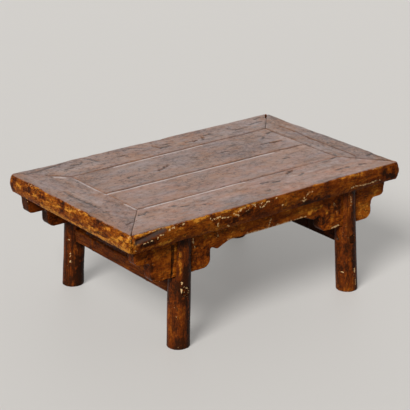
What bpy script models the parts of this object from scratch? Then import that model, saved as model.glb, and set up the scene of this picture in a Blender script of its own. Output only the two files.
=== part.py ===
"""Low offering table in the recessed-leg form, as a set of joined wooden pieces.

A mitred frame holds a floating panel of two boards on two dovetailed battens. Four round legs lean
outwards. Each is slotted at the top over an apron with cloud-shaped heads, and tenoned up into the frame.
A rail with through tenons joins the two legs at each end. Wooden pegs lock the mitres and the rails.

Metres, +Z up. The origin is on the floor under the middle of the top, and +X runs along the table.
"""

import math

import bmesh
import bpy
from mathutils import Vector

# Overall size
TABLE_LENGTH = 0.708
TABLE_DEPTH = 0.448
TABLE_HEIGHT = 0.274

# Clearances: between touching pieces, beside a floating tongue, and past a face that is cut through
FIT_GAP = 0.0003
PANEL_SEAM = 0.0008
PANEL_FLOAT = 0.0015
OVERCUT = 0.002

# Top frame
FRAME_THICKNESS = 0.040
FRONT_MEMBER_WIDTH = 0.112
BACK_MEMBER_WIDTH = 0.093
LEFT_MEMBER_WIDTH = 0.096
RIGHT_MEMBER_WIDTH = 0.084
EDGE_BULGE = 0.004
TOP_ARRIS_RADIUS = 0.003
LOWER_ARRIS_RADIUS = 0.0025

# Mitre tenons on the long members, and the pegs that lock them
MITRE_TENON_WIDTH = 0.045
MITRE_TENON_THICKNESS = 0.012
MITRE_TENON_DROP = 0.017
MITRE_TENON_COVER = 0.012
MITRE_PEG_DIAMETER = 0.007
PEG_BITE = 0.005

# Floating panel
PANEL_THICKNESS = 0.016
PANEL_LIP = 0.006
PANEL_TONGUE_THICKNESS = 0.006
PANEL_GROOVE_DEPTH = 0.009
BOARD_JOINT_BEHIND_CENTRE = 0.0005
BOARD_TONGUE_LENGTH = 0.006
BOARD_TONGUE_THICKNESS = 0.005

# Battens under the panel
BATTEN_SPACING = 0.210
BATTEN_WIDTH = 0.030
BATTEN_HEIGHT = 0.018
DOVETAIL_NECK = 0.020
DOVETAIL_HEAD = 0.024
DOVETAIL_HEIGHT = 0.003
BATTEN_TENON_WIDTH = 0.020
BATTEN_TENON_THICKNESS = 0.008
BATTEN_TENON_LENGTH = 0.012

# Legs: feet set in from the ends and sides of the top, leaning in as they rise. The old base stands a
# little to the right of the top's middle and a little to the front of it.
BASE_SHIFT_X = 0.0055
BASE_SHIFT_Y = -0.002
LEG_DIAMETER = 0.048
LEG_FOOT_INSET_X = 0.125
LEG_FOOT_INSET_Y = 0.030
LEG_LEAN_X = 0.048
LEG_LEAN_Y = 0.032
LEG_TENON_WIDTH = 0.018
LEG_TENON_THICKNESS = 0.007
LEG_TENON_LENGTH = 0.016
LEG_TENON_SHOULDER = 0.001

# Aprons: depths are measured down from the underside of the frame
APRON_THICKNESS = 0.026
STRIP_DEPTH = 0.036
HEAD_DEPTH = 0.081
HEAD_WIDTH = 0.146
HEAD_CORNER_RADIUS = 0.017
NOTCH_DEPTH = 0.039
NOTCH_RADIUS = 0.004
BEAK_DEPTH = 0.048
BEAK_REACH = 0.018
COVE_REACH = 0.030
COVE_RADIUS = 0.022
FRONT_WING_DEPTH = 0.036
FRONT_WING_LENGTH = 0.035
BACK_WING_DEPTH = 0.040
BACK_WING_LENGTH = 0.045
WING_LEAN = 0.004
WING_THROAT_RADIUS = 0.009
WING_CORNER_RADIUS = 0.011
APRON_TONGUE_THICKNESS = 0.006
APRON_TONGUE_HEIGHT = 0.005

# End rails, set below the apron heads, and the pegs through their tenons
RAIL_BELOW_HEAD = 0.017
RAIL_HEIGHT = 0.029
RAIL_WIDTH = 0.026
RAIL_CORNER_RADIUS = 0.003
RAIL_TENON_WIDTH = 0.012
RAIL_TENON_HEIGHT = 0.018
RAIL_TENON_RECESS = 0.0008
RAIL_PEG_DIAMETER = 0.006
RAIL_PEG_PAST_AXIS = 0.015

# Facets
LEG_SIDES = 48
PEG_SIDES = 20
ARC_STEPS = 6
BULGE_STEPS = 8
BULGE_SHARE = 0.6

# Finishes, each as its colour and its roughness
FINISHES = {
    "dusty_top": ((0.30, 0.19, 0.15), 0.45),
    "amber_lacquer": ((0.24, 0.10, 0.025), 0.45),
    "red_brown_lacquer": ((0.16, 0.055, 0.018), 0.30),
    "dark_lacquer": ((0.10, 0.040, 0.018), 0.45),
    "bare_wood": ((0.36, 0.22, 0.11), 0.70),
}

# Places worked out from the sizes above
FRAME_UNDERSIDE = TABLE_HEIGHT - FRAME_THICKNESS
INNER_LEFT = -TABLE_LENGTH / 2 + LEFT_MEMBER_WIDTH
INNER_RIGHT = TABLE_LENGTH / 2 - RIGHT_MEMBER_WIDTH
INNER_FRONT = -TABLE_DEPTH / 2 + FRONT_MEMBER_WIDTH
INNER_BACK = TABLE_DEPTH / 2 - BACK_MEMBER_WIDTH
GROOVE_TOP = TABLE_HEIGHT - PANEL_LIP
TONGUE_TOP = GROOVE_TOP - FIT_GAP
TONGUE_BOTTOM = TONGUE_TOP - PANEL_TONGUE_THICKNESS
GROOVE_BOTTOM = TONGUE_BOTTOM - FIT_GAP
PANEL_UNDERSIDE = TABLE_HEIGHT - PANEL_THICKNESS
BATTEN_TOP = PANEL_UNDERSIDE - FIT_GAP
BATTEN_PLACES = {"left": -BATTEN_SPACING / 2, "right": BATTEN_SPACING / 2}
HEAD_MIDDLE = FRAME_UNDERSIDE - HEAD_DEPTH / 2
RAIL_TOP = FRAME_UNDERSIDE - HEAD_DEPTH - RAIL_BELOW_HEAD
RAIL_BOTTOM = RAIL_TOP - RAIL_HEIGHT
RAIL_MIDDLE = RAIL_TOP - RAIL_HEIGHT / 2
MITRE_TENON_TOP = TABLE_HEIGHT - MITRE_TENON_DROP
MITRE_TENON_BOTTOM = MITRE_TENON_TOP - MITRE_TENON_THICKNESS
SIDES = {"left": -1, "right": 1}
FACES = {"front": -1, "back": 1}
LONG_WIDTHS = {"front": FRONT_MEMBER_WIDTH, "back": BACK_MEMBER_WIDTH}
WING_DEPTHS = {"front": FRONT_WING_DEPTH, "back": BACK_WING_DEPTH}
WING_LENGTHS = {"front": FRONT_WING_LENGTH, "back": BACK_WING_LENGTH}
END_WIDTHS = {"left": LEFT_MEMBER_WIDTH, "right": RIGHT_MEMBER_WIDTH}
CORNERS = [(side, face) for side in SIDES for face in FACES]


def leg_offset(height):
    """How far a leg's axis stands from the base's middle at a height, in X and Y."""
    along = TABLE_LENGTH / 2 - LEG_FOOT_INSET_X - LEG_LEAN_X * height
    across = TABLE_DEPTH / 2 - LEG_FOOT_INSET_Y - LEG_LEAN_Y * height
    return along, across


def leg_axis(side, face, height):
    """Where a leg's axis passes a height."""
    along, across = leg_offset(height)
    return Vector((BASE_SHIFT_X + SIDES[side] * along, BASE_SHIFT_Y + FACES[face] * across))


APRON_PLANES = {face: leg_axis("left", face, HEAD_MIDDLE).y for face in FACES}
HEAD_CENTRE = leg_offset(HEAD_MIDDLE)[0]
HEAD_INNER = HEAD_CENTRE - HEAD_WIDTH / 2
HEAD_OUTER = HEAD_CENTRE + HEAD_WIDTH / 2


def clear_scene():
    for obj in list(bpy.data.objects):
        bpy.data.objects.remove(obj)


# Outlines and solids


def rounded(corners):
    """A closed outline from (x, y, radius) corners, with each radius above zero drawn as an arc."""
    outline = []
    for index, (x, y, radius) in enumerate(corners):
        here = Vector((x, y))
        if radius == 0:
            outline.append(here)
            continue
        back = (Vector(corners[index - 1][:2]) - here).normalized()
        ahead = (Vector(corners[(index + 1) % len(corners)][:2]) - here).normalized()
        half = back.angle(ahead) / 2
        centre = here + (back + ahead).normalized() * radius / math.sin(half)
        start = here + back * radius / math.tan(half) - centre
        turn = start.angle_signed(here + ahead * radius / math.tan(half) - centre)
        for step in range(ARC_STEPS + 1):
            angle = -turn * step / ARC_STEPS
            spun = Vector(
                (
                    start.x * math.cos(angle) - start.y * math.sin(angle),
                    start.x * math.sin(angle) + start.y * math.cos(angle),
                )
            )
            outline.append(centre + spun)
    return outline


def circle(centre_x, centre_y, height, radius, sides):
    angles = [2 * math.pi * step / sides for step in range(sides)]
    return [
        Vector((centre_x + radius * math.cos(a), centre_y + radius * math.sin(a), height)) for a in angles
    ]


def add_loft(mesh, first, second):
    """A closed body between two loops of as many points."""
    lower = [mesh.verts.new(point) for point in first]
    upper = [mesh.verts.new(point) for point in second]
    faces = [mesh.faces.new(lower), mesh.faces.new(upper)]
    for index in range(len(lower)):
        after = (index + 1) % len(lower)
        faces.append(mesh.faces.new((lower[index], lower[after], upper[after], upper[index])))
    bmesh.ops.recalc_face_normals(mesh, faces=faces)


def add_box(mesh, low, high):
    plan = [(low[0], low[1]), (high[0], low[1]), (high[0], high[1]), (low[0], high[1])]
    add_loft(mesh, [(x, y, low[2]) for x, y in plan], [(x, y, high[2]) for x, y in plan])


def finished(name, mesh):
    data = bpy.data.meshes.new(name)
    mesh.to_mesh(data)
    mesh.free()
    obj = bpy.data.objects.new(name, data)
    bpy.context.scene.collection.objects.link(obj)
    return obj


def helper(name, mesh):
    """A cutter or an addition: kept as a wire guide."""
    obj = finished(name, mesh)
    obj.hide_render = True
    obj.display_type = "WIRE"
    return obj


def combine(piece, operation, mesh):
    """Cuts the shapes in mesh out of the piece, or adds them to it."""
    modifier = piece.modifiers.new(operation.lower(), "BOOLEAN")
    modifier.operation = operation
    modifier.solver = "EXACT"
    modifier.object = helper(f"{piece.name}_{operation.lower()}_{len(piece.modifiers)}", mesh)


def finish(piece, coating, smooth=False):
    colour, roughness = FINISHES[coating]
    material = bpy.data.materials.new(piece.name)
    material.use_nodes = True
    shader = material.node_tree.nodes["Principled BSDF"]
    shader.inputs["Base Color"].default_value = (*colour, 1)
    shader.inputs["Roughness"].default_value = roughness
    shader.inputs["Metallic"].default_value = 0
    piece.data.materials.append(material)
    if smooth:
        piece.data.shade_smooth()
        piece.data.set_sharp_from_angle(angle=math.radians(35))


# Fits that two pieces share, each as a tenon and, with room, as its mortise


def add_mitre_tenon(mesh, side, face, room=0):
    """The tenon on the end of a long member, lying inside the end member."""
    width = LONG_WIDTHS[face]
    tip = TABLE_LENGTH / 2 - MITRE_TENON_COVER + room
    root = TABLE_LENGTH / 2 - END_WIDTHS[side]
    outer = TABLE_DEPTH / 2 - (width - MITRE_TENON_WIDTH) / 2 + room
    inner = outer - MITRE_TENON_WIDTH - 2 * room
    along = sorted((SIDES[side] * root, SIDES[side] * tip))
    across = sorted((FACES[face] * inner, FACES[face] * outer))
    add_box(
        mesh,
        (along[0], across[0], MITRE_TENON_BOTTOM - room),
        (along[1], across[1], MITRE_TENON_TOP + room),
    )


def add_mitre_peg(mesh, side, face, room=0):
    """The peg driven up from below through the middle of the tenon's hidden part."""
    middle = LONG_WIDTHS[face] / 2
    mitre = TABLE_LENGTH / 2 - END_WIDTHS[side] / 2
    place_x = SIDES[side] * (mitre + TABLE_LENGTH / 2 - MITRE_TENON_COVER) / 2
    place_y = FACES[face] * (TABLE_DEPTH / 2 - middle)
    start = FRAME_UNDERSIDE - (OVERCUT if room else 0)
    end = MITRE_TENON_TOP + PEG_BITE + room
    radius = MITRE_PEG_DIAMETER / 2 + room
    add_loft(
        mesh,
        circle(place_x, place_y, start, radius, PEG_SIDES),
        circle(place_x, place_y, end, radius, PEG_SIDES),
    )


def add_batten_tenons(mesh, place, room=0):
    """The tenons on both ends of a batten, running into the long members."""
    middle = BATTEN_TOP - BATTEN_HEIGHT / 2
    half_width = BATTEN_TENON_WIDTH / 2 + room
    half_thickness = BATTEN_TENON_THICKNESS / 2 + room
    reach = BATTEN_TENON_LENGTH + room
    for start, end in (
        (INNER_FRONT - reach, INNER_FRONT + OVERCUT),
        (INNER_BACK - OVERCUT, INNER_BACK + reach),
    ):
        add_box(
            mesh,
            (place - half_width, start, middle - half_thickness),
            (place + half_width, end, middle + half_thickness),
        )


def add_dovetail(mesh, place, start, end, room=0):
    """The key along the top of a batten, wider at its head than at its neck."""
    sunk = PANEL_UNDERSIDE - OVERCUT
    top = BATTEN_TOP + DOVETAIL_HEIGHT + room
    flare = (DOVETAIL_HEAD - DOVETAIL_NECK) / DOVETAIL_HEIGHT / 2
    low = DOVETAIL_NECK / 2 + room + flare * (sunk - BATTEN_TOP)
    high = DOVETAIL_HEAD / 2 + room
    profile = [(-low, sunk), (low, sunk), (high, top), (-high, top)]
    add_loft(
        mesh,
        [(place + x, start, z) for x, z in profile],
        [(place + x, end, z) for x, z in profile],
    )


def add_leg_tenons(mesh, side, face, room=0):
    """The two tenons of a leg, one on each side of its slot, rising into the frame."""
    middle = leg_axis(side, face, FRAME_UNDERSIDE).x
    slot_half = APRON_THICKNESS / 2 + FIT_GAP
    start = FRAME_UNDERSIDE - (OVERCUT if room else FIT_GAP + OVERCUT)
    top = FRAME_UNDERSIDE + LEG_TENON_LENGTH + room
    near = slot_half + LEG_TENON_SHOULDER - room
    far = slot_half + LEG_TENON_SHOULDER + LEG_TENON_THICKNESS + room
    half_width = LEG_TENON_WIDTH / 2 + room
    for cheek in (-1, 1):
        across = sorted(APRON_PLANES[face] + cheek * reach for reach in (near, far))
        add_box(
            mesh,
            (middle - half_width, across[0], start),
            (middle + half_width, across[1], top),
        )


def add_apron_tongue(mesh, face, room=0):
    """The tongue along the top of an apron, housed in the underside of the frame."""
    half = APRON_TONGUE_THICKNESS / 2 + room
    middle = APRON_PLANES[face]
    add_box(
        mesh,
        (-HEAD_OUTER - room, middle - half, FRAME_UNDERSIDE - OVERCUT),
        (HEAD_OUTER + room, middle + half, FRAME_UNDERSIDE + APRON_TONGUE_HEIGHT + room),
    )


def add_rail_tenon(mesh, side, face, room=0):
    """The tenon of a rail, passing right through a leg."""
    half_width = RAIL_TENON_WIDTH / 2 + room
    half_height = RAIL_TENON_HEIGHT / 2 + room
    axis = leg_axis(side, face, RAIL_MIDDLE)
    root = -LEG_DIAMETER / 2 - OVERCUT
    tip = LEG_DIAMETER / 2 + (OVERCUT if room else -RAIL_TENON_RECESS)
    across = sorted(axis.y + FACES[face] * end for end in (root, tip))
    add_box(
        mesh,
        (axis.x - half_width, across[0], RAIL_MIDDLE - half_height),
        (axis.x + half_width, across[1], RAIL_MIDDLE + half_height),
    )


def add_rail_peg(mesh, side, face, room=0):
    """The peg through a leg and a rail's tenon, driven from the inner side."""
    radius = RAIL_PEG_DIAMETER / 2 + room
    axis = leg_axis(side, face, RAIL_MIDDLE)
    start = axis.x - SIDES[side] * (LEG_DIAMETER / 2 + (OVERCUT if room else -FIT_GAP))
    end = axis.x + SIDES[side] * (RAIL_PEG_PAST_AXIS + room)
    ring = circle(axis.y, RAIL_MIDDLE, 0, radius, PEG_SIDES)
    add_loft(
        mesh,
        [(start, point.x, point.y) for point in ring],
        [(end, point.x, point.y) for point in ring],
    )


def add_leg_body(mesh, side, face, room=0):
    """A leaning round leg from the floor to the underside of the frame."""
    radius = LEG_DIAMETER / 2 + room
    rings = []
    for height in (0, FRAME_UNDERSIDE - FIT_GAP):
        axis = leg_axis(side, face, height)
        rings.append(circle(axis.x, axis.y, height, radius, LEG_SIDES))
    add_loft(mesh, *rings)


# Pieces


def bulging_edge():
    """The middle of a frame member's outer edge, which swells out between its arrises."""
    half = FRAME_THICKNESS / 2
    shares = [BULGE_SHARE * (2 * step / BULGE_STEPS - 1) for step in range(BULGE_STEPS + 1)]
    return [(EDGE_BULGE * share**2, FRAME_UNDERSIDE + half + half * share, 0) for share in shares]


def frame_section(width):
    """A frame member's section: distance in from the outer edge, and height, with the panel's groove."""
    groove_end = width - PANEL_GROOVE_DEPTH
    return rounded(
        [
            (EDGE_BULGE, FRAME_UNDERSIDE, LOWER_ARRIS_RADIUS),
            *bulging_edge(),
            (EDGE_BULGE, TABLE_HEIGHT, TOP_ARRIS_RADIUS),
            (width, TABLE_HEIGHT, 0),
            (width, GROOVE_TOP, 0),
            (groove_end, GROOVE_TOP, 0),
            (groove_end, GROOVE_BOTTOM, 0),
            (width, GROOVE_BOTTOM, 0),
            (width, FRAME_UNDERSIDE, 0),
        ]
    )


def mitred_ends(section, length, start_ratio, end_ratio):
    """The two mitred end loops of a member as (along, in from the edge, height)."""
    half_gap = FIT_GAP
    starts = [(-length / 2 + half_gap + u * start_ratio, u, z) for u, z in section]
    ends = [(length / 2 - half_gap - u * end_ratio, u, z) for u, z in section]
    return starts, ends


def make_long_member(face):
    width = LONG_WIDTHS[face]
    section = frame_section(width)
    loops = mitred_ends(section, TABLE_LENGTH, LEFT_MEMBER_WIDTH / width, RIGHT_MEMBER_WIDTH / width)
    mesh = bmesh.new()
    add_loft(mesh, *[[(s, FACES[face] * (TABLE_DEPTH / 2 - u), z) for s, u, z in loop] for loop in loops])
    piece = finished(f"top_frame_{face}", mesh)

    tenons = bmesh.new()
    for side in SIDES:
        add_mitre_tenon(tenons, side, face)
    combine(piece, "UNION", tenons)

    cuts = bmesh.new()
    for side in SIDES:
        add_mitre_peg(cuts, side, face, FIT_GAP)
        add_leg_tenons(cuts, side, face, FIT_GAP)
    add_apron_tongue(cuts, face, FIT_GAP)
    for place in BATTEN_PLACES.values():
        add_batten_tenons(cuts, place, FIT_GAP)
    combine(piece, "DIFFERENCE", cuts)
    finish(piece, "dusty_top")


def make_end_member(side):
    width = END_WIDTHS[side]
    section = frame_section(width)
    loops = mitred_ends(section, TABLE_DEPTH, FRONT_MEMBER_WIDTH / width, BACK_MEMBER_WIDTH / width)
    mesh = bmesh.new()
    add_loft(mesh, *[[(SIDES[side] * (TABLE_LENGTH / 2 - u), s, z) for s, u, z in loop] for loop in loops])
    piece = finished(f"top_frame_{side}", mesh)

    mortises = bmesh.new()
    for face in FACES:
        add_mitre_tenon(mortises, side, face, FIT_GAP)
    combine(piece, "DIFFERENCE", mortises)
    holes = bmesh.new()
    for face in FACES:
        add_mitre_peg(holes, side, face, FIT_GAP)
    combine(piece, "DIFFERENCE", holes)
    finish(piece, "amber_lacquer")


def make_board(face):
    """One board of the panel: tongued into the frame, and tongued or grooved to the other board."""
    joint = BOARD_JOINT_BEHIND_CENTRE
    half_seam = PANEL_SEAM / 2
    tongue = PANEL_GROOVE_DEPTH - PANEL_FLOAT
    edge = {"front": INNER_FRONT + PANEL_SEAM, "back": INNER_BACK - PANEL_SEAM}[face]
    tongue_edge = {"front": INNER_FRONT - tongue, "back": INNER_BACK + tongue}[face]
    seam = joint + FACES[face] * half_seam
    across = sorted((edge, seam))
    tongue_across = sorted((tongue_edge, seam))
    mesh = bmesh.new()
    add_box(
        mesh,
        (INNER_LEFT + PANEL_SEAM, across[0], PANEL_UNDERSIDE),
        (INNER_RIGHT - PANEL_SEAM, across[1], TABLE_HEIGHT),
    )
    piece = finished(f"top_board_{face}", mesh)

    tongues = bmesh.new()
    add_box(
        tongues,
        (INNER_LEFT - tongue, tongue_across[0], TONGUE_BOTTOM),
        (INNER_RIGHT + tongue, tongue_across[1], TONGUE_TOP),
    )
    combine(piece, "UNION", tongues)

    middle = (TONGUE_TOP + TONGUE_BOTTOM) / 2
    is_grooved = face == "front"
    room = FIT_GAP if is_grooved else 0
    half_thickness = BOARD_TONGUE_THICKNESS / 2 + room
    reach = BOARD_TONGUE_LENGTH + room
    past_ends = tongue + OVERCUT if is_grooved else -PANEL_SEAM
    shape = bmesh.new()
    add_box(
        shape,
        (INNER_LEFT - past_ends, joint - half_seam - reach, middle - half_thickness),
        (INNER_RIGHT + past_ends, joint + half_seam + OVERCUT, middle + half_thickness),
    )
    combine(piece, "DIFFERENCE" if is_grooved else "UNION", shape)

    grooves = bmesh.new()
    for place in BATTEN_PLACES.values():
        add_dovetail(grooves, place, across[0] - OVERCUT, across[1] + OVERCUT, FIT_GAP)
    combine(piece, "DIFFERENCE", grooves)
    finish(piece, "dusty_top")


def make_batten(name, place):
    low = (place - BATTEN_WIDTH / 2, INNER_FRONT + FIT_GAP, BATTEN_TOP - BATTEN_HEIGHT)
    high = (place + BATTEN_WIDTH / 2, INNER_BACK - FIT_GAP, BATTEN_TOP)
    mesh = bmesh.new()
    add_box(mesh, low, high)
    piece = finished(f"top_batten_{name}", mesh)
    key = bmesh.new()
    add_dovetail(key, place, low[1], high[1])
    combine(piece, "UNION", key)
    tenons = bmesh.new()
    add_batten_tenons(tenons, place)
    combine(piece, "UNION", tenons)
    finish(piece, "bare_wood")


def apron_outline(face):
    """An apron seen from the front, as (x, z): the right half's lower edge, and its mirror image."""
    strip = FRAME_UNDERSIDE - STRIP_DEPTH
    head = FRAME_UNDERSIDE - HEAD_DEPTH
    wing = FRAME_UNDERSIDE - WING_DEPTHS[face]
    top = FRAME_UNDERSIDE - FIT_GAP
    beak = HEAD_INNER - BEAK_REACH
    wing_end = HEAD_OUTER + WING_LENGTHS[face]
    right = [
        (beak - COVE_REACH, strip, COVE_RADIUS),
        (beak, FRAME_UNDERSIDE - BEAK_DEPTH, 0),
        (HEAD_INNER, FRAME_UNDERSIDE - NOTCH_DEPTH, NOTCH_RADIUS),
        (HEAD_INNER, head, HEAD_CORNER_RADIUS),
        (HEAD_OUTER, head, HEAD_CORNER_RADIUS),
        (HEAD_OUTER, wing, WING_THROAT_RADIUS),
        (wing_end, wing, WING_CORNER_RADIUS),
        (wing_end + WING_LEAN, top, 0),
    ]
    left = [(-x, z, radius) for x, z, radius in reversed(right)]
    return rounded(right + left)


def make_apron(face):
    middle = APRON_PLANES[face]
    outline = apron_outline(face)
    mesh = bmesh.new()
    add_loft(
        mesh,
        [(p.x, middle - APRON_THICKNESS / 2, p.y) for p in outline],
        [(p.x, middle + APRON_THICKNESS / 2, p.y) for p in outline],
    )
    piece = finished(f"apron_{face}", mesh)
    tongue = bmesh.new()
    add_apron_tongue(tongue, face)
    combine(piece, "UNION", tongue)
    finish(piece, "red_brown_lacquer")


def make_leg(side, face):
    mesh = bmesh.new()
    add_leg_body(mesh, side, face)
    piece = finished(f"leg_{face}_{side}", mesh)

    middle = leg_axis(side, face, HEAD_MIDDLE).x
    half_slot = APRON_THICKNESS / 2 + FIT_GAP
    cuts = bmesh.new()
    add_box(
        cuts,
        (middle - LEG_DIAMETER, APRON_PLANES[face] - half_slot, FRAME_UNDERSIDE - HEAD_DEPTH - FIT_GAP),
        (middle + LEG_DIAMETER, APRON_PLANES[face] + half_slot, FRAME_UNDERSIDE + OVERCUT),
    )
    add_rail_tenon(cuts, side, face, FIT_GAP)
    combine(piece, "DIFFERENCE", cuts)

    hole = bmesh.new()
    add_rail_peg(hole, side, face, FIT_GAP)
    combine(piece, "DIFFERENCE", hole)
    tenons = bmesh.new()
    add_leg_tenons(tenons, side, face)
    combine(piece, "UNION", tenons)
    finish(piece, "red_brown_lacquer", smooth=True)


def make_side_rail(side):
    half = RAIL_WIDTH / 2
    corners = [(-half, RAIL_BOTTOM), (half, RAIL_BOTTOM), (half, RAIL_TOP), (-half, RAIL_TOP)]
    section = rounded([(x, z, RAIL_CORNER_RADIUS) for x, z in corners])
    ends = [leg_axis(side, face, RAIL_MIDDLE) for face in FACES]
    mesh = bmesh.new()
    add_loft(mesh, *[[(end.x + p.x, end.y, p.y) for p in section] for end in ends])
    piece = finished(f"side_rail_{side}", mesh)

    scribes = bmesh.new()
    for face in FACES:
        add_leg_body(scribes, side, face, FIT_GAP)
    combine(piece, "DIFFERENCE", scribes)
    tenons = bmesh.new()
    for face in FACES:
        add_rail_tenon(tenons, side, face)
    combine(piece, "UNION", tenons)
    holes = bmesh.new()
    for face in FACES:
        add_rail_peg(holes, side, face, FIT_GAP)
    combine(piece, "DIFFERENCE", holes)
    finish(piece, "dark_lacquer")


def make_pegs(side, face):
    for name, add_peg in (("mitre_peg", add_mitre_peg), ("rail_peg", add_rail_peg)):
        mesh = bmesh.new()
        add_peg(mesh, side, face)
        piece = finished(f"{name}_{face}_{side}", mesh)
        finish(piece, "bare_wood", smooth=True)


def main():
    clear_scene()
    for face in FACES:
        make_long_member(face)
        make_board(face)
        make_apron(face)
    for side in SIDES:
        make_end_member(side)
        make_side_rail(side)
    for name, place in BATTEN_PLACES.items():
        make_batten(name, place)
    for side, face in CORNERS:
        make_leg(side, face)
        make_pegs(side, face)


main()
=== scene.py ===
"""Dresses a low offering table: weathered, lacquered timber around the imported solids, on a plain stage.

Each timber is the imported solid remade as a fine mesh. A Geometry Nodes tree wears its arrises round, chips
them, hollows its faces, raises its grain, opens the splits of old wood and stores how worn each point is.
The lacquer materials read that wear, so thin lacquer and bare wood show where the coat has gone.
"""

import math
from collections import namedtuple

import bmesh
import bpy
from bpy.props import FloatProperty, FloatVectorProperty, IntProperty, PointerProperty
from mathutils import Euler, Matrix, Vector


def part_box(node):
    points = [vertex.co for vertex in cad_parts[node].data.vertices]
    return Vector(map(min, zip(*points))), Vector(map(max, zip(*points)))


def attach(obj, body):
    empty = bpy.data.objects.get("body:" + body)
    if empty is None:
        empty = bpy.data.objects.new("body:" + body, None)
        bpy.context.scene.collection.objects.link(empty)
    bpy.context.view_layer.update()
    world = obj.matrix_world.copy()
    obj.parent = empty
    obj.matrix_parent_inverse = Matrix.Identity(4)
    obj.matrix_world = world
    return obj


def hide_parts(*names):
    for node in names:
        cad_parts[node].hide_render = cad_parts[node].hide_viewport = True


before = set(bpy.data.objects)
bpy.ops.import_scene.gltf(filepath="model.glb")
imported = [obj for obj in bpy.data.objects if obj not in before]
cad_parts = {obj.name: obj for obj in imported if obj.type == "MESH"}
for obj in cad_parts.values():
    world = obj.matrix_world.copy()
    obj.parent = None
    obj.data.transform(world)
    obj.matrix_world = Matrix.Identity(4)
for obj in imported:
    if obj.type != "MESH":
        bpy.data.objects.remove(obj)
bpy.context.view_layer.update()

bl_info = {
    "name": "Offering Table",
    "version": (1, 0, 0),
    "blender": (4, 5, 0),
    "location": "View3D > Sidebar > Offering Table",
    "description": "Weathers and lacquers the timbers of a low offering table",
    "category": "Add Mesh",
}

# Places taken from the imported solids
TOP_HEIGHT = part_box("top_frame_front")[1].z
OUTER_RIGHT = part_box("top_frame_right")[1].x
OUTER_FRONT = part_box("top_frame_front")[0].y
OUTER_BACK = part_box("top_frame_back")[1].y
INNER_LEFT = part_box("top_frame_left")[1].x
INNER_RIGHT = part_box("top_frame_right")[0].x
INNER_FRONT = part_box("top_frame_front")[1].y
INNER_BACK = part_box("top_frame_back")[0].y
BOARD_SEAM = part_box("top_board_front")[1].y
APRON_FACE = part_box("apron_front")[0].y
SAME_HEIGHT = 1e-5


def reach_at_top(node):
    """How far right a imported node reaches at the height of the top."""
    corners = [vertex.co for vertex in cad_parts[node].data.vertices]
    return max(corner.x for corner in corners if corner.z > TOP_HEIGHT - SAME_HEIGHT)


# The slab that wear cuts the top to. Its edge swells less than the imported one, so that the arrises go first
BULGE_SHARE = 0.57
EDGE_BULGE = (OUTER_RIGHT - reach_at_top("top_frame_right")) * BULGE_SHARE
SLAB_HALF_THICKNESS = (TOP_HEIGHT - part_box("top_frame_front")[0].z) / 2
SLAB_HALF = (OUTER_RIGHT, OUTER_BACK, SLAB_HALF_THICKNESS)
SLAB_MIDDLE = (0.0, 0.0, TOP_HEIGHT - SLAB_HALF_THICKNESS)

# Hand-cut irregularities of the top: how far each seam runs out of place at its two ends
RIGHT_SEAM_DRIFT = (-0.001, 0.003)
BOARD_SEAM_DRIFT = (0.001, -0.005)
BACK_SEAM_DRIFT = (-0.002, 0.002)
FRONT_SEAM_DRIFT = (0.001, -0.002)

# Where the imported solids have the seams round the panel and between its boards
SEAMS = [
    [(INNER_LEFT, INNER_FRONT), (INNER_RIGHT, INNER_FRONT)],
    [(INNER_LEFT, INNER_BACK), (INNER_RIGHT, INNER_BACK)],
    [(INNER_LEFT, INNER_FRONT), (INNER_LEFT, BOARD_SEAM), (INNER_LEFT, INNER_BACK)],
    [(INNER_RIGHT, INNER_FRONT), (INNER_RIGHT, BOARD_SEAM), (INNER_RIGHT, INNER_BACK)],
    [(INNER_LEFT, BOARD_SEAM), (INNER_RIGHT, BOARD_SEAM)],
]

# Stretches of seams and mitres whose near side shows a pale line, partly wear and partly a painted highlight,
# and how far from the joint that line lies
RUBBED_GLINTS = [
    [(INNER_LEFT, BOARD_SEAM), (0.180, BOARD_SEAM)],
    [(-0.240, INNER_FRONT), (0.010, INNER_FRONT)],
    [(-0.150, INNER_BACK), (0.085, INNER_BACK)],
    [(INNER_LEFT, 0.110), (INNER_LEFT, 0.020)],
    [(INNER_LEFT, -0.070), (INNER_LEFT, -0.105)],
    [(-0.270, 0.136), (-0.285, 0.152)],
]
RUBBED_GLINT_SHIFT = Vector((-0.0030, -0.0048, 0.0))

# Broad hazy bands on the top, as lines of (x, y) points
HAZES = [
    [(0.262, 0.090), (0.266, 0.020), (0.262, -0.060)],
    [(-0.220, -0.136), (-0.120, -0.134), (-0.020, -0.132)],
    [(0.110, -0.150), (0.180, -0.148), (0.240, -0.140)],
    [(-0.300, 0.150), (-0.230, 0.165), (-0.170, 0.170)],
    [(-0.310, 0.060), (-0.300, -0.040)],
]

# How far each corner of the top is worn round in plan
CORNERS = {
    "Corner Front Left": 0.014,
    "Corner Front Right": 0.008,
    "Corner Back Left": 0.008,
    "Corner Back Right": 0.008,
}

# Missing slivers, each a turned block cut from a timber: its middle, its size and its turn in degrees
Bite = namedtuple("Bite", "node middle size turn")
BITES = [
    Bite("top_frame_front", (-0.304, -0.2270, 0.2645), (0.074, 0.012, 0.0135), (-24, -9.5, 1)),
    Bite("top_frame_back", (0.335, 0.206, 0.268), (0.034, 0.0035, 0.020), (0, 0, 49)),
    Bite("top_frame_right", (0.345, 0.224, 0.268), (0.060, 0.018, 0.030), (0, 0, -24)),
]

# Splits in the top, as lines of (x, y) points along which the wood has opened
SPLITS = [
    [(0.310, 0.128), (0.312, 0.080), (0.308, 0.030), (0.305, 0.0), (0.307, -0.050), (0.304, -0.138)],
    [(-0.296, -0.161), (-0.310, -0.163), (-0.323, -0.167)],
    [(-0.258, 0.129), (-0.285, 0.158), (-0.298, 0.168)],
    [(0.268, -0.116), (0.285, -0.135), (0.302, -0.154), (0.320, -0.178), (0.336, -0.196), (0.345, -0.201)],
]

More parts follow.
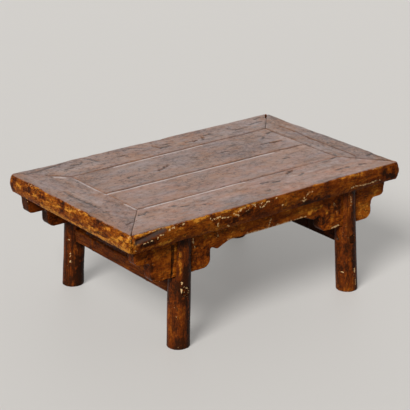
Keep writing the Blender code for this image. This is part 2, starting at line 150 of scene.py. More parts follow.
# Dark strokes worn into the top's lacquer, as lines of (x, y) points
STROKES = [
    [(-0.322, 0.198), (-0.300, 0.197), (-0.265, 0.205), (-0.235, 0.208)],
    [(-0.244, 0.173), (-0.226, 0.175)],
    [(-0.220, 0.186), (-0.200, 0.183), (-0.190, 0.195)],
    [(-0.175, 0.208), (-0.167, 0.198), (-0.161, 0.174)],
    [(-0.103, 0.174), (-0.092, 0.173)],
    [(-0.075, 0.201), (-0.060, 0.204), (-0.045, 0.198), (-0.035, 0.188)],
    [(0.000, 0.168), (0.014, 0.165), (0.024, 0.170)],
    [(0.018, 0.180), (0.032, 0.181)],
    [(0.068, 0.162), (0.080, 0.161)],
    [(0.084, 0.159), (0.094, 0.161)],
    [(0.110, 0.155), (0.118, 0.168)],
    [(0.128, 0.176), (0.145, 0.178)],
    [(0.202, 0.185), (0.207, 0.172), (0.220, 0.166), (0.245, 0.168)],
    [(0.262, 0.176), (0.285, 0.181), (0.298, 0.180)],
    [(0.297, 0.200), (0.315, 0.206)],
    [(-0.170, 0.048), (-0.158, 0.054), (-0.145, 0.051)],
    [(-0.098, 0.049), (-0.080, 0.051), (-0.070, 0.057), (-0.055, 0.062)],
    [(0.014, 0.070), (0.024, 0.066)],
    [(0.028, 0.044), (0.035, 0.041)],
    [(0.082, 0.058), (0.104, 0.059)],
    [(0.192, 0.050), (0.218, 0.048), (0.243, 0.044)],
    [(0.220, 0.080), (0.235, 0.092)],
    [(0.255, 0.103), (0.272, 0.107)],
    [(0.170, -0.055), (0.180, -0.052)],
    [(-0.276, -0.141), (-0.258, -0.140), (-0.250, -0.131)],
    [(-0.200, -0.140), (-0.185, -0.142)],
    [(-0.178, -0.153), (-0.168, -0.158)],
    [(-0.140, -0.170), (-0.133, -0.174)],
    [(0.112, -0.132), (0.122, -0.125), (0.135, -0.121)],
    [(0.125, -0.155), (0.140, -0.150)],
    [(0.028, -0.148), (0.035, -0.144), (0.042, -0.148)],
    [(0.055, -0.155), (0.070, -0.156)],
    [(0.012, -0.190), (0.020, -0.185)],
    [(0.208, -0.181), (0.225, -0.179), (0.240, -0.180)],
    [(0.272, -0.184), (0.285, -0.184)],
    [(0.248, -0.118), (0.262, -0.116)],
    [(-0.318, 0.060), (-0.321, 0.025), (-0.316, -0.030), (-0.316, -0.060)],
    [(-0.320, -0.085), (-0.312, -0.090)],
    [(0.297, 0.117), (0.302, 0.118)],
    [(0.340, 0.045), (0.343, 0.055)],
    [(0.325, -0.150), (0.345, -0.143)],
]

# The open slot in the front apron beside its left leg, as lines of (x, z) points on the apron's face. It is
# carved shallow and painted black, and that black is painted shade
APRON_SPLITS = [
    [(-0.2415, 0.224), (-0.2412, 0.200), (-0.2418, 0.180), (-0.2440, 0.152)],
    [(-0.2390, 0.222), (-0.2388, 0.200), (-0.2394, 0.180), (-0.2410, 0.158)],
    [(-0.2366, 0.222), (-0.2364, 0.200), (-0.2370, 0.184)],
]

# Dents and knots in the top, as short lines of (x, y) points
HOLLOWS = [
    [(-0.008, 0.186), (0.000, 0.166)],
    [(0.112, 0.158), (0.118, 0.168)],
    [(0.086, 0.160), (0.094, 0.161)],
    [(-0.092, 0.050), (-0.060, 0.060)],
    [(0.218, 0.048), (0.242, 0.044)],
    [(0.114, -0.131), (0.134, -0.122)],
    [(0.322, -0.181), (0.340, -0.198)],
    [(0.312, 0.076), (0.312, 0.052)],
    [(0.306, 0.020), (0.305, 0.000)],
]

# The bruised face of the scar beside the near corner, as a line of (x, z) points on the top's front face
SCARS = [
    [(-0.338, 0.2585), (-0.305, 0.2640), (-0.272, 0.2700)],
]

# Trails where the lacquer has flaked off, as lines of (x, z) points on the top's front face
FRONT_FLAKES = [
    [(-0.322, 0.2530), (-0.308, 0.2545), (-0.299, 0.2560)],
    [(-0.290, 0.2580), (-0.286, 0.2595), (-0.278, 0.2615)],
    [(-0.262, 0.2665), (-0.254, 0.2680), (-0.249, 0.2675)],
    [(-0.232, 0.2690), (-0.222, 0.2705)],
    [(-0.162, 0.265), (-0.152, 0.262), (-0.140, 0.264), (-0.133, 0.260), (-0.118, 0.258), (-0.110, 0.258)],
    [(-0.105, 0.263), (-0.090, 0.265), (-0.072, 0.270)],
    [(-0.057, 0.270), (-0.046, 0.265), (-0.031, 0.267), (-0.012, 0.267)],
    [(-0.038, 0.264), (-0.036, 0.258), (-0.028, 0.260), (-0.024, 0.264)],
    [(-0.076, 0.259), (-0.069, 0.262), (-0.065, 0.265)],
    [(-0.104, 0.260), (-0.095, 0.257), (-0.088, 0.252)],
    [(-0.145, 0.252), (-0.145, 0.246), (-0.141, 0.243)],
    [(-0.122, 0.241), (-0.116, 0.238)],
    [(0.006, 0.270), (0.009, 0.270)],
    [(0.022, 0.251), (0.024, 0.252)],
    [(0.073, 0.249), (0.080, 0.245), (0.084, 0.249)],
    [(0.079, 0.252), (0.092, 0.261), (0.100, 0.262)],
    [(0.213, 0.246), (0.233, 0.246), (0.248, 0.243), (0.280, 0.245), (0.295, 0.244)],
]

# The same on the near corner, as points in space
CORNER_FLAKES = [
    [(-0.3495, -0.2200, 0.271), (-0.3505, -0.2205, 0.263)],
    [(-0.3525, -0.2190, 0.256), (-0.3528, -0.2195, 0.248)],
    [(-0.3470, -0.2225, 0.2445), (-0.3400, -0.2235, 0.2420)],
    [(-0.3520, -0.2120, 0.269), (-0.3528, -0.2050, 0.262)],
]

# The same on the front apron's face
APRON_FLAKES = [
    [(-0.191, 0.223), (-0.188, 0.213), (-0.186, 0.201)],
    [(-0.130, 0.210), (-0.127, 0.216)],
    [(-0.105, 0.200), (-0.085, 0.199)],
    [(-0.056, 0.200), (-0.038, 0.200), (-0.012, 0.199), (0.040, 0.1995), (0.104, 0.200)],
    [(0.004, 0.207), (0.010, 0.217)],
    [(0.179, 0.157), (0.197, 0.157)],
    [(0.183, 0.211), (0.186, 0.209)],
    [(0.211, 0.213), (0.213, 0.205)],
    [(0.192, 0.190), (0.194, 0.187)],
]

# Stretches worn thin and golden, as lines on the top's front face, its left end and the front apron
FRONT_WORN = [
    [(-0.350, 0.238), (-0.340, 0.246), (-0.348, 0.268)],
    [(-0.348, 0.256), (-0.334, 0.254)],
    [(-0.340, 0.2715), (-0.262, 0.2725)],
    [(-0.200, 0.272), (-0.165, 0.271)],
    [(-0.132, 0.272), (-0.118, 0.271)],
    [(-0.104, 0.263), (-0.066, 0.272)],
    [(-0.060, 0.272), (-0.020, 0.272)],
    [(0.205, 0.271), (0.245, 0.270)],
    [(-0.325, 0.2425), (-0.260, 0.2410)],
]
LEFT_WORN = [
    [(-0.222, 0.268), (-0.218, 0.244)],
    [(-0.214, 0.266), (-0.196, 0.246)],
    [(-0.192, 0.262), (-0.172, 0.252), (-0.150, 0.247)],
    [(-0.125, 0.252), (-0.085, 0.249)],
    [(-0.152, 0.268), (-0.130, 0.265)],
    # This long line along the lower arris is a painted highlight, a pale golden rim where that edge catches
    # the light
    [(-0.215, 0.240), (-0.100, 0.240), (0.0, 0.240), (0.100, 0.240)],
    [(-0.030, 0.267), (0.0, 0.262), (0.030, 0.258)],
    [(0.108, 0.252), (0.124, 0.256)],
    [(0.178, 0.257), (0.190, 0.262)],
]
APRON_WORN = [
    [(0.112, 0.205), (0.150, 0.213), (0.164, 0.195)],
]

# Stretches dark with soot, in the same way
FRONT_SOOT = [
    [(0.308, 0.262), (0.318, 0.250), (0.334, 0.246), (0.334, 0.262)],
    [(-0.150, 0.257), (-0.120, 0.250), (-0.098, 0.248)],
    [(-0.082, 0.256), (-0.060, 0.258)],
    [(-0.240, 0.272), (-0.226, 0.273)],
    [(-0.160, 0.271), (-0.154, 0.268)],
    [(0.070, 0.240), (0.150, 0.239)],
    [(-0.325, 0.249), (-0.296, 0.250)],
]
LEFT_SOOT = [
    [(-0.110, 0.268), (-0.100, 0.262)],
    [(0.010, 0.272), (0.020, 0.256)],
    [(0.085, 0.262), (0.100, 0.260)],
    [(0.142, 0.262), (0.160, 0.256)],
    [(0.200, 0.266), (0.210, 0.250), (0.205, 0.243)],
]
APRON_SOOT = [
    [(-0.296, 0.225), (-0.294, 0.165)],
    [(0.196, 0.222), (0.200, 0.175)],
]

# The inner heads of the front apron, darkened as a whole with painted shade by lines that hang a little clear
# of its face
HEAD_SHADE_CLEARANCE = 0.0052
HEAD_SHADE = [
    [(-0.200, 0.214), (-0.200, 0.162)],
    [(-0.184, 0.214), (-0.184, 0.162)],
    [(-0.168, 0.214), (-0.168, 0.166)],
    [(-0.152, 0.212), (-0.152, 0.180)],
    [(0.138, 0.212), (0.138, 0.180)],
    [(0.154, 0.214), (0.154, 0.166)],
    [(0.170, 0.214), (0.170, 0.162)],
    [(0.186, 0.214), (0.186, 0.162)],
]

# The sooty mitre at the back right corner, as points in space
CORNER_SOOT = [
    [(0.316, 0.186, 0.270), (0.346, 0.214, 0.266)],
]

# Marks down the legs: the leg, which way the mark looks in degrees, and its lowest and highest point
LegMark = namedtuple("LegMark", "node heading low high")
LEG_RADIUS = 0.024
LEG_WORN = [
    LegMark("leg_front_left", -118, 0.155, 0.205),
]
# Painted shade down the front right sides of the legs
LEG_SHADE = [
    LegMark("leg_front_right", -55, 0.0, 0.240),
    LegMark("leg_front_right", -85, 0.060, 0.240),
    LegMark("leg_back_left", -50, 0.0, 0.240),
    LegMark("leg_back_left", -75, 0.0, 0.240),
    LegMark("leg_back_left", -98, 0.0, 0.240),
    LegMark("leg_front_left", -60, 0.0, 0.150),
    LegMark("leg_front_left", -85, 0.090, 0.170),
]
# Trails of flaked lacquer down the legs. Those on the back left leg, and the one at -152 degrees on the front
# right leg, lie along a glossy leg's highlight and are partly painted highlight
LEG_FLAKES_AND_GLINTS = [
    LegMark("leg_back_left", -152, 0.110, 0.118),
    LegMark("leg_back_left", -140, 0.060, 0.078),
    LegMark("leg_back_left", -142, 0.185, 0.205),
    LegMark("leg_front_right", -78, 0.012, 0.026),
    LegMark("leg_front_right", -84, 0.045, 0.052),
    LegMark("leg_front_right", -152, 0.042, 0.046),
    LegMark("leg_front_right", -104, 0.200, 0.220),
    LegMark("leg_front_left", -110, 0.122, 0.142),
]

# How much each grain direction stretches a pattern: short across the grain and long along it
GRAIN_ALONG_X = (0.06, 1.0, 1.0)
GRAIN_ALONG_Y = (1.0, 0.06, 1.0)
GRAIN_ALONG_Z = (1.0, 1.0, 0.06)

# Powers that make that stretch weaker
MILD_STRETCH = 0.4
LOOSE_STRETCH = 0.2

# The camera: its place, its turn and its focal length in pixels of a square frame
CAMERA_PLACE = (-1.763, -2.2814, 1.2892)
CAMERA_YAW = math.radians(37.62)
CAMERA_PITCH = math.radians(20.89)
CAMERA_FOCAL_PIXELS = 1438.0
FRAME_PIXELS = 410
SENSOR_WIDTH = 36.0


# Settings that a user would change


def length(name, description, default):
    """A setting in metres."""
    return FloatProperty(name=name, description=description, default=default, unit="LENGTH", precision=5)


def colour(name, description, default):
    """A setting that is a colour."""
    limits = {"subtype": "COLOR", "min": 0, "max": 1}
    return FloatVectorProperty(name=name, description=description, default=default, **limits)


def amount(name, description, default):
    """A setting that is a plain number."""
    return FloatProperty(name=name, description=description, default=default)


class TimberSettings(bpy.types.PropertyGroup):
    """How far the timbers are worn."""

    grid: length("Grid", "Spacing of the fine mesh", 0.00155)
    arris: length("Arris", "Usual radius of the top's worn arrises", 0.0040)
    rounding: IntProperty(name="Rounding", description="Passes that round the base's arrises", default=2)
    chip_depth: length("Chips", "Depth of the chips along the arrises", 0.0026)
    base_chip_depth: length("Chips of the base", "Depth of the chips on the legs and rails", 0.0008)
    swell: length("Swell", "Depth of the slow hollows in each face", 0.0010)
    base_swell: length("Swell of the base", "Depth of the slow hollows in the aprons and rails", 0.0004)
    relief: length("Grain relief", "Depth between the raised lines of grain", 0.0003)
    flake_width: length("Flake width", "Half the width of a trail of flaked lacquer", 0.0042)
    seam_width: length("Seam width", "Half the width of the worn groove along a seam", 0.0050)
    seam_depth: length("Seam depth", "Depth of the worn groove along a seam", 0.0011)
    haze_width: length("Haze width", "Half the width of a hazy band", 0.024)
    rubbed_width: length("Rubbed width", "Half the width of a pale rubbed line", 0.0052)
    stroke_width: length("Stroke width", "Half the width of a dark stroke", 0.0056)
    worn_width: length("Worn width", "Half the width of a stretch worn golden", 0.0070)
    # Some sooty stretches are painted shade, on the legs and the front apron's heads
    soot_width: length("Soot width", "Half the width of a sooty stretch", 0.0120)
    # Painted shade on the aprons' end faces, which lie under the top
    end_soot: amount("End soot", "How dark the end grain of the aprons is", 0.6)
    overlap: length("Overlap", "How far the mitres close over each other at a corner", 0.0012)
    scar_width: length("Scar width", "Half the width of the bruised scar", 0.0085)
    split_width: length("Split width", "Half the width of an open split", 0.0024)
    split_depth: length("Split depth", "Depth of an open split", 0.0022)
    hollow_width: length("Dent width", "Half the width of a dent", 0.0050)
    hollow_depth: length("Dent depth", "Depth of a dent", 0.0016)
    seed: amount("Seed", "Picks another pattern of wear", 3.0)


class LacquerSettings(bpy.types.PropertyGroup):
    """The colours of the old lacquer and of the wood under it."""

    top_mid: colour("Top", "Worn satin lacquer of the top", (0.270, 0.130, 0.086))
    top_dark: colour("Top, dark", "Dark grain of the top", (0.016, 0.011, 0.009))
    top_red: colour("Top, red", "Redder patches of the top", (0.290, 0.124, 0.076))
    top_warm: colour("Top, warm", "Browner patches of the top", (0.235, 0.122, 0.070))
    top_cool: colour("Top, cool tint", "Tints cooler streaks, where 0.5 tints nothing", (0.44, 0.52, 0.64))
    top_ruddy: colour("Top, ruddy tint", "Tints ruddier streaks in the same way", (0.56, 0.48, 0.36))
    top_grey: colour("Top, grey", "Dusty patches of the top", (0.140, 0.090, 0.074))
    # The pale colour is also painted as a highlight along the seams
    top_pale_and_glint: colour("Top, pale", "Haze, and rubbed lines along the seams", (0.54, 0.44, 0.41))
    black: colour("Black", "Soot and wax in the pits", (0.010, 0.006, 0.003))
    brown: colour("Brown", "Thick dark lacquer", (0.030, 0.0070, 0.0013))
    red_brown: colour("Red brown", "Lacquer of middling thickness", (0.112, 0.0215, 0.0022))
    amber: colour("Amber", "Thin lacquer", (0.225, 0.055, 0.0042))
    gold: colour("Gold", "Thinnest lacquer over pale wood", (0.50, 0.19, 0.020))
    scar: colour("Scar", "Bruised wood of the scar", (0.062, 0.050, 0.044))
    bare: colour("Bare wood", "Wood where the lacquer has flaked off", (0.68, 0.44, 0.20))
    hidden: colour("Hidden wood", "Unlacquered wood under the top", (0.24, 0.13, 0.06))


class StageSettings(bpy.types.PropertyGroup):
    """The floor and the light."""

    floor: colour("Floor", "Colour of the floor", (0.37, 0.355, 0.335))
    glow: colour("Glow", "How pale the floor still looks in full shade", (0.22, 0.214, 0.205))
    bounce: colour("Bounce", "Colour of the floor as it lights the table", (0.17, 0.15, 0.13))
    sky: colour("Surround", "Pale surround that the gloss shows", (0.86, 0.86, 0.86))
    fill: amount("Fill", "Light from all round", 0.20)
    key: amount("Key", "Strength of the soft lamp", 3.8)


# Node trees, written as expressions


# A noise: its waves to a metre, its finer detail and how rough that is, its draw of the seed, and its twist
Pattern = namedtuple("Pattern", "scale detail roughness draw twist", defaults=(0.5, 0.0, 0.0))


class Signal:
    """One output of a node tree, which adds Math nodes when it is used in an expression."""

    def __init__(self, graph, socket):
        self.graph = graph
        self.socket = socket

    def math(self, operation, *values):
        return self.graph.node("ShaderNodeMath", {"operation": operation}, dict(enumerate(values)))

    def __add__(self, other):
        return self.math("ADD", self, other)

    def __radd__(self, other):
        return self.math("ADD", other, self)

    def __sub__(self, other):
        return self.math("SUBTRACT", self, other)

    def __rsub__(self, other):
        return self.math("SUBTRACT", other, self)

    def __mul__(self, other):
        return self.math("MULTIPLY", self, other)

    def __rmul__(self, other):
        return self.math("MULTIPLY", other, self)

    def __truediv__(self, other):
        return self.math("DIVIDE", self, other)

    def __abs__(self):
        return self.math("ABSOLUTE", self)

    def is_above(self, other):
        return self.math("GREATER_THAN", self, other)

    def at_most(self, other):
        return self.math("MINIMUM", self, other)

    def at_least(self, other):
        return self.math("MAXIMUM", self, other)


class Graph:
    """Adds nodes to a shader or geometry tree and joins them."""

    def __init__(self, tree):
        self.tree = tree

    def node(self, kind, settings=None, inputs=None, output=0):
        """Adds a node, sets it up, joins or fills its inputs and returns one of its outputs."""
        node = self.tree.nodes.new(kind)
        for name, value in (settings or {}).items():
            setattr(node, name, value)
        for key, value in (inputs or {}).items():
            if isinstance(value, Signal):
                self.tree.links.new(value.socket, node.inputs[key])
            else:
                node.inputs[key].default_value = value
        return Signal(self, node.outputs[output])

    def vector(self, operation, *values, output=0):
        return self.node("ShaderNodeVectorMath", {"operation": operation}, dict(enumerate(values)), output)

    def scaled(self, vector, factor):
        return self.node("ShaderNodeVectorMath", {"operation": "SCALE"}, {0: vector, "Scale": factor})

    def part(self, vector, axis):
        return self.node("ShaderNodeSeparateXYZ", None, {0: vector}, output="XYZ".index(axis))

    def noise(self, place, pattern, seed):
        values = {
            "Vector": place,
            "W": seed + pattern.draw,
            "Scale": pattern.scale,
            "Detail": pattern.detail,
            "Roughness": pattern.roughness,
            "Distortion": pattern.twist,
        }
        return self.node("ShaderNodeTexNoise", {"noise_dimensions": "4D"}, values)

    def rise(self, value, low, high):
        """0 below low, 1 above high, and a smooth step between them."""
        settings = {"interpolation_type": "SMOOTHSTEP"}
        return self.node("ShaderNodeMapRange", settings, {0: value, 1: low, 2: high})

    def blend(self, factor, first, second):
        """A colour between two colours."""
        ends = [end if isinstance(end, Signal) else (*end, 1.0) for end in (first, second)]
        values = {0: factor, 6: ends[0], 7: ends[1]}
        return self.node("ShaderNodeMix", {"data_type": "RGBA"}, values, output=2)

    def layers(self, value, stops):
        """A colour that goes through the given (value, colour) stops in turn."""
        mixed = stops[0][1]
        for (low, _), (high, following) in zip(stops, stops[1:]):
            mixed = self.blend(self.rise(value, low, high), mixed, following)
        return mixed


# The weathering of a timber


TREE_NAME = "weathered timber"

# Marks that follow guide lines. Each gives the tree its lines and half its width, and the deep ones a depth
MARKS = ("Split", "Hollow", "Seam", "Rubbed", "Stroke", "Worn", "Soot", "Haze", "Scar", "Flake")
DEEP_MARKS = ("Split", "Hollow", "Seam")
NUMBERS = ("Bulge", "Arris", "Drop", "Chip Depth", "Swell", "Relief", "Seed", "End Soot", "Overlap")
TREE_INPUTS = {
    "Geometry": "NodeSocketGeometry",
    "Material": "NodeSocketMaterial",
    "Grain": "NodeSocketVector",
    "Slab Half": "NodeSocketVector",
    "Slab Middle": "NodeSocketVector",
    "Rounding": "NodeSocketInt",
    **dict.fromkeys(("In Slab", *CORNERS, *NUMBERS), "NodeSocketFloat"),
    **{f"{mark} Lines": "NodeSocketObject" for mark in MARKS},
    **{f"{mark} Width": "NodeSocketFloat" for mark in MARKS},
    **{f"{mark} Depth": "NodeSocketFloat" for mark in DEEP_MARKS},
}

# Patterns of the wear
UNEVEN_WEAR = Pattern(16.0, 2.0)
SLOW_HOLLOWS = Pattern(11.0, 2.0, draw=2.0)
RAISED_GRAIN = Pattern(95.0, 3.0, 0.6, draw=4.0)
CHIP_FLAWS = Pattern(75.0, 3.0, 0.6, draw=7.0)
LINE_WANDER = Pattern(130.0, 2.0, draw=9.0)
BARE_STRETCHES = Pattern(15.0, 2.0, draw=12.0)

# Passes of blur that even out an arris, and how far a sharp one then stands proud of the blurred shape
EDGE_PASSES = 14
EDGE_SCALE = 0.0032

# Where values of the top fade: in from its edge, below its face, off a mitre and in from a corner
EXPOSED_BAND = (0.010, 0.016)
TOP_SKIN = (0.006, 0.003)
MITRE_BAND = (0.0010, 0.0030)
NOSE_BAND = (0.016, 0.024)

# The slab's arris is worn less below its middle, and the feet lose less wood from this height down
LOWER_HALF = (0.0, -0.010)
FOOT_HEIGHT = 0.004

# Vectors to multiply by
FLAT = (1.0, 1.0, 0.0)
UPRIGHT = (0.0, 0.0, 1.0)
EVEN = (1.0, 1.0, 1.0)
NOWHERE = (0.0, 0.0, 0.0)


class Weathering(Graph):
    """Fills the tree that wears a fine closed mesh, in steps that each take its geometry further."""

    def __init__(self, tree):
        super().__init__(tree)
        source = tree.nodes.new("NodeGroupInput")
        self.inputs = {name: Signal(self, source.outputs[name]) for name in TREE_INPUTS}
        self.geometry = self.inputs["Geometry"]
        self.in_slab = self.inputs["In Slab"]
        self.place = self.node("GeometryNodeInputPosition")
        self.normal = self.node("GeometryNodeInputNormal")
        self.wear = self.rise(self.drawn(UNEVEN_WEAR, self.place), 0.35, 0.65)
        self.wander = self.drawn(LINE_WANDER, self.place) - 0.45

        # Where a point lies in the slab of the top, whose edge stands back above and below its middle
        self.from_middle = self.vector("SUBTRACT", self.place, self.inputs["Slab Middle"])
        self.reach = self.vector("ABSOLUTE", self.from_middle)
        height = self.part(self.from_middle, "Z") / self.part(self.inputs["Slab Half"], "Z")
        set_back = self.scaled(FLAT, height * height * self.inputs["Bulge"])
        self.half = self.vector("SUBTRACT", self.inputs["Slab Half"], set_back)
        inset = self.vector("SUBTRACT", self.half, self.reach)
        self.inset_x = self.part(inset, "X")
        self.inset_y = self.part(inset, "Y")
        self.skin = self.rise(self.part(self.half, "Z") - self.part(self.from_middle, "Z"), *TOP_SKIN)

    def drawn(self, pattern, place):
        """A noise pattern, drawn with the timber's seed."""
        return self.noise(place, pattern, self.inputs["Seed"])

    def step(self, kind, **values):
        """Takes the geometry through one more node."""
        inputs = {name.replace("_", " "): value for name, value in values.items()}
        self.geometry = self.node(kind, None, {"Geometry": self.geometry, **inputs})

    def store(self, name, value):
        """Keeps a value at each point, for later steps and for the lacquer."""
        settings = {"data_type": "FLOAT", "domain": "POINT"}
        values = {"Geometry": self.geometry, "Name": name, "Value": value}
        self.geometry = self.node("GeometryNodeStoreNamedAttribute", settings, values)

    def recall(self, name):
        """A value that was kept."""
        return self.node("GeometryNodeInputNamedAttribute", {"data_type": "FLOAT"}, {"Name": name})

    def blurred(self, passes):
        """Where a point lies once it is evened out with its neighbours."""
        values = {0: self.place, 1: passes}
        return self.node("GeometryNodeBlurAttribute", {"data_type": "FLOAT_VECTOR"}, values)

    def distance_from(self, mark):
        """How far a point is from the nearest of a mark's lines."""
        lines = {"Object": self.inputs[f"{mark} Lines"]}
        target = self.node("GeometryNodeObjectInfo", None, lines, output="Geometry")
        settings = {"target_element": "EDGES"}
        return self.node("GeometryNodeProximity", settings, {"Geometry": target}, output="Distance")

    def nearness(self, mark, sway=1.0, core=0.15):
        """1 on a mark's lines and over the core of their width, falling unevenly to 0 at the full width."""
        width = self.inputs[f"{mark} Width"]
        distance = self.distance_from(mark) + self.wander * sway * width
        return 1 - self.rise(distance, width * core, width)

    def corner_radius(self):
        """How far the nearest corner of the top is worn round in plan."""
        rightward = self.part(self.from_middle, "X").is_above(0.0)
        backward = self.part(self.from_middle, "Y").is_above(0.0)
        front_left, front_right, back_left, back_right = [self.inputs[name] for name in CORNERS]
        front = front_left + (front_right - front_left) * rightward
        back = back_left + (back_right - back_left) * rightward
        return front + (back - front) * backward

    def arris_radius(self):
        """How far the nearest arris of the top is worn round, which is less for the lower one."""
        lower = self.rise(self.part(self.from_middle, "Z"), *LOWER_HALF)
        return self.inputs["Arris"] * (0.45 + self.wear * 1.1) * (1 - lower * 0.70)

    def worn_slab(self):
        """Where a point lies once the top is worn round as one slab, and how near it is to an arris."""
        corner = self.corner_radius()
        radius = self.arris_radius()
        straight = self.vector("SUBTRACT", self.half, self.scaled(EVEN, corner))
        beyond = self.vector("SUBTRACT", self.reach, straight)
        outside = self.vector("MAXIMUM", self.vector("MULTIPLY", beyond, FLAT), NOWHERE)
        sideways = self.vector("LENGTH", outside, output=1) - corner + radius
        upwards = self.part(self.reach, "Z") - self.part(self.half, "Z") + radius
        push = self.scaled(self.vector("NORMALIZE", outside), sideways.at_least(0.0))
        push = self.vector("ADD", push, self.scaled(UPRIGHT, upwards.at_least(0.0)))
        excess = (self.vector("LENGTH", push, output=1) - radius).at_least(0.0) * self.in_slab
        signs = self.vector("SIGN", self.from_middle)
        inward = self.vector("MULTIPLY", self.vector("NORMALIZE", push), signs)
        worn = self.vector("SUBTRACT", self.place, self.scaled(inward, excess))
        turn = (self.part(beyond, "X").at_most(self.part(beyond, "Y")) / corner * 0.7).at_least(0.0)
        return worn, (sideways.at_most(upwards) / radius).at_least(turn)

    def mitre_smear(self):
        """How a mitre closes over its neighbour at the outer corner, where wear has smeared it shut."""
        on_mitre = 1 - self.rise(abs(self.inset_x - self.inset_y), *MITRE_BAND)
        on_nose = 1 - self.rise(self.inset_x.at_least(self.inset_y), *NOSE_BAND)
        across = self.vector("MULTIPLY", self.vector("SIGN", self.from_middle), (1.0, -1.0, 0.0))
        return self.scaled(across, on_mitre * on_nose * (1 - self.skin) * self.inputs["Overlap"])

    def worn_base(self):
        """Where a point lies once the timbers of the base are each worn round, in some stretches more."""
        factor = (0.35 + 0.65 * self.wear) * (1 - self.in_slab)
        values = {"Factor": factor, 4: self.place, 5: self.blurred(self.inputs["Rounding"])}
        return self.node("ShaderNodeMix", {"data_type": "VECTOR"}, values, output=1)

    def round_off(self):
        """Wears the arrises round. The top goes as one slab, so that its mitres stay shut."""
        worn, arris = self.worn_slab()
        proud = self.vector("SUBTRACT", self.place, self.blurred(EDGE_PASSES))
        convex = (self.vector("DOT_PRODUCT", proud, self.normal, output=1) / EDGE_SCALE).at_least(0.0)
        facing_up = self.rise(self.part(self.normal, "Z"), 0.45, 0.9)
        inner = self.rise(self.inset_x.at_most(self.inset_y), *EXPOSED_BAND) * self.in_slab
        self.store("edge", convex + (arris - convex) * self.in_slab)
        self.store("up", facing_up.at_least(inner * self.skin) * self.in_slab)
        self.store("open", (1 - inner).at_least(facing_up))
        self.step("GeometryNodeSetPosition", Position=self.vector("ADD", worn, self.mitre_smear()))
        self.step("GeometryNodeSetPosition", Position=self.worn_base())

    def flaws(self):
        """How strongly each flaw shows at a point, by the name that the lacquer reads it by."""
        edge = self.recall("edge")
        chip = self.rise(self.drawn(CHIP_FLAWS, self.place), 0.57, 0.66) * self.rise(edge, 0.18, 0.60)
        stretch = self.rise(self.drawn(BARE_STRETCHES, self.place), 0.50, 0.62)
        bared = self.rise(edge, 0.12, 0.45) * stretch * 0.6
        # Faces that look along x; on the aprons these end faces are darkened with painted shade, for the
        # shade under the top
        end_grain = self.rise(abs(self.part(self.normal, "X")), 0.55, 0.85)
        seam = 1 - self.rise(self.distance_from("Seam"), 0.0, self.inputs["Seam Width"])
        return {
            "chip": chip,
            "scar": self.nearness("Scar"),
            "seam": seam * self.in_slab,
            "rubbed": self.nearness("Rubbed", 0.9) * self.in_slab,
            "stroke": self.nearness("Stroke", 2.5, core=0.45) * self.in_slab,
            "worn": self.nearness("Worn", 2.5),
            "soot": self.nearness("Soot", 2.5).at_least(end_grain * self.inputs["End Soot"]),
            "haze": self.nearness("Haze"),
            # Flaked stretches; a few trails down the legs are also painted highlight
            "bared": bared.at_least(self.nearness("Flake", 2.4)),
        }

    def sink_flaws(self):
        """Keeps the flaws, and takes off the wood that they, the slow hollows and the grain have lost."""
        inputs = self.inputs
        flaws = self.flaws()
        split = self.nearness("Split")
        hollow = self.nearness("Hollow", 2.0)
        grain = self.vector("MULTIPLY", self.place, inputs["Grain"])
        swell = self.rise(self.drawn(SLOW_HOLLOWS, self.place), 0.38, 0.72) * inputs["Swell"]
        relief = self.drawn(RAISED_GRAIN, grain) * inputs["Relief"]
        lost = swell + relief + flaws["chip"] * inputs["Chip Depth"]
        lost = lost + split * inputs["Split Depth"] + hollow * inputs["Hollow Depth"] + inputs["Drop"]
        lost = lost + flaws["seam"] * inputs["Seam Depth"] + flaws["stroke"] * inputs["Hollow Depth"] * 0.4
        off_floor = self.rise(self.part(self.place, "Z"), 0.0, FOOT_HEIGHT)
        offset = self.scaled(self.normal, lost * off_floor * self.recall("open") * -1.0)
        for name, value in flaws.items():
            self.store(name, value)
        self.store("split", split.at_least(hollow * 0.6))
        self.step("GeometryNodeSetPosition", Offset=offset)

    def finish(self):
        """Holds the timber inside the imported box, smooths its shading and gives it its material."""
        highest = self.vector("ADD", self.inputs["Slab Middle"], self.inputs["Slab Half"])
        lowest = self.vector("MULTIPLY", highest, (-1.0, -1.0, 0.0))
        held = self.vector("MAXIMUM", self.vector("MINIMUM", self.place, highest), lowest)
        self.step("GeometryNodeSetPosition", Position=held)
        self.step("GeometryNodeSetShadeSmooth", Shade_Smooth=True)
        self.step("GeometryNodeRealizeInstances")
        self.step("GeometryNodeSetMaterial", Material=self.inputs["Material"])
        target = self.tree.nodes.new("NodeGroupOutput")
        self.tree.links.new(self.geometry.socket, target.inputs["Geometry"])


def weathering_tree():
    """The Geometry Nodes tree that wears a fine closed mesh."""
    tree = bpy.data.node_groups.new(TREE_NAME, "GeometryNodeTree")
    for name, kind in TREE_INPUTS.items():
        tree.interface.new_socket(name, in_out="INPUT", socket_type=kind)
    tree.interface.new_socket("Geometry", in_out="OUTPUT", socket_type="NodeSocketGeometry")
    weathering = Weathering(tree)
    weathering.round_off()
    weathering.sink_flaws()
    weathering.finish()
    return tree


def set_inputs(modifier, values):
    """Sets inputs of a modifier's tree by name, through the identifiers of their sockets."""
    for item in modifier.node_group.interface.items_tree:
        if item.in_out == "INPUT" and item.name in values:
            modifier[item.identifier] = values[item.name]


def linked(name, mesh):
    """An object made from a bmesh, which is freed."""
    data = bpy.data.meshes.new(name)
    mesh.to_mesh(data)
    mesh.free()
    made = bpy.data.objects.new(name, data)
    bpy.context.scene.collection.objects.link(made)
    return made


def line_object(name, lines):
    """A guide of plain edges, for the tree to measure from."""
    mesh = bmesh.new()
    for line in lines:
        points = [mesh.verts.new(point) for point in line]
        for start, end in zip(points, points[1:]):
            mesh.edges.new((start, end))
    return linked(name, mesh)


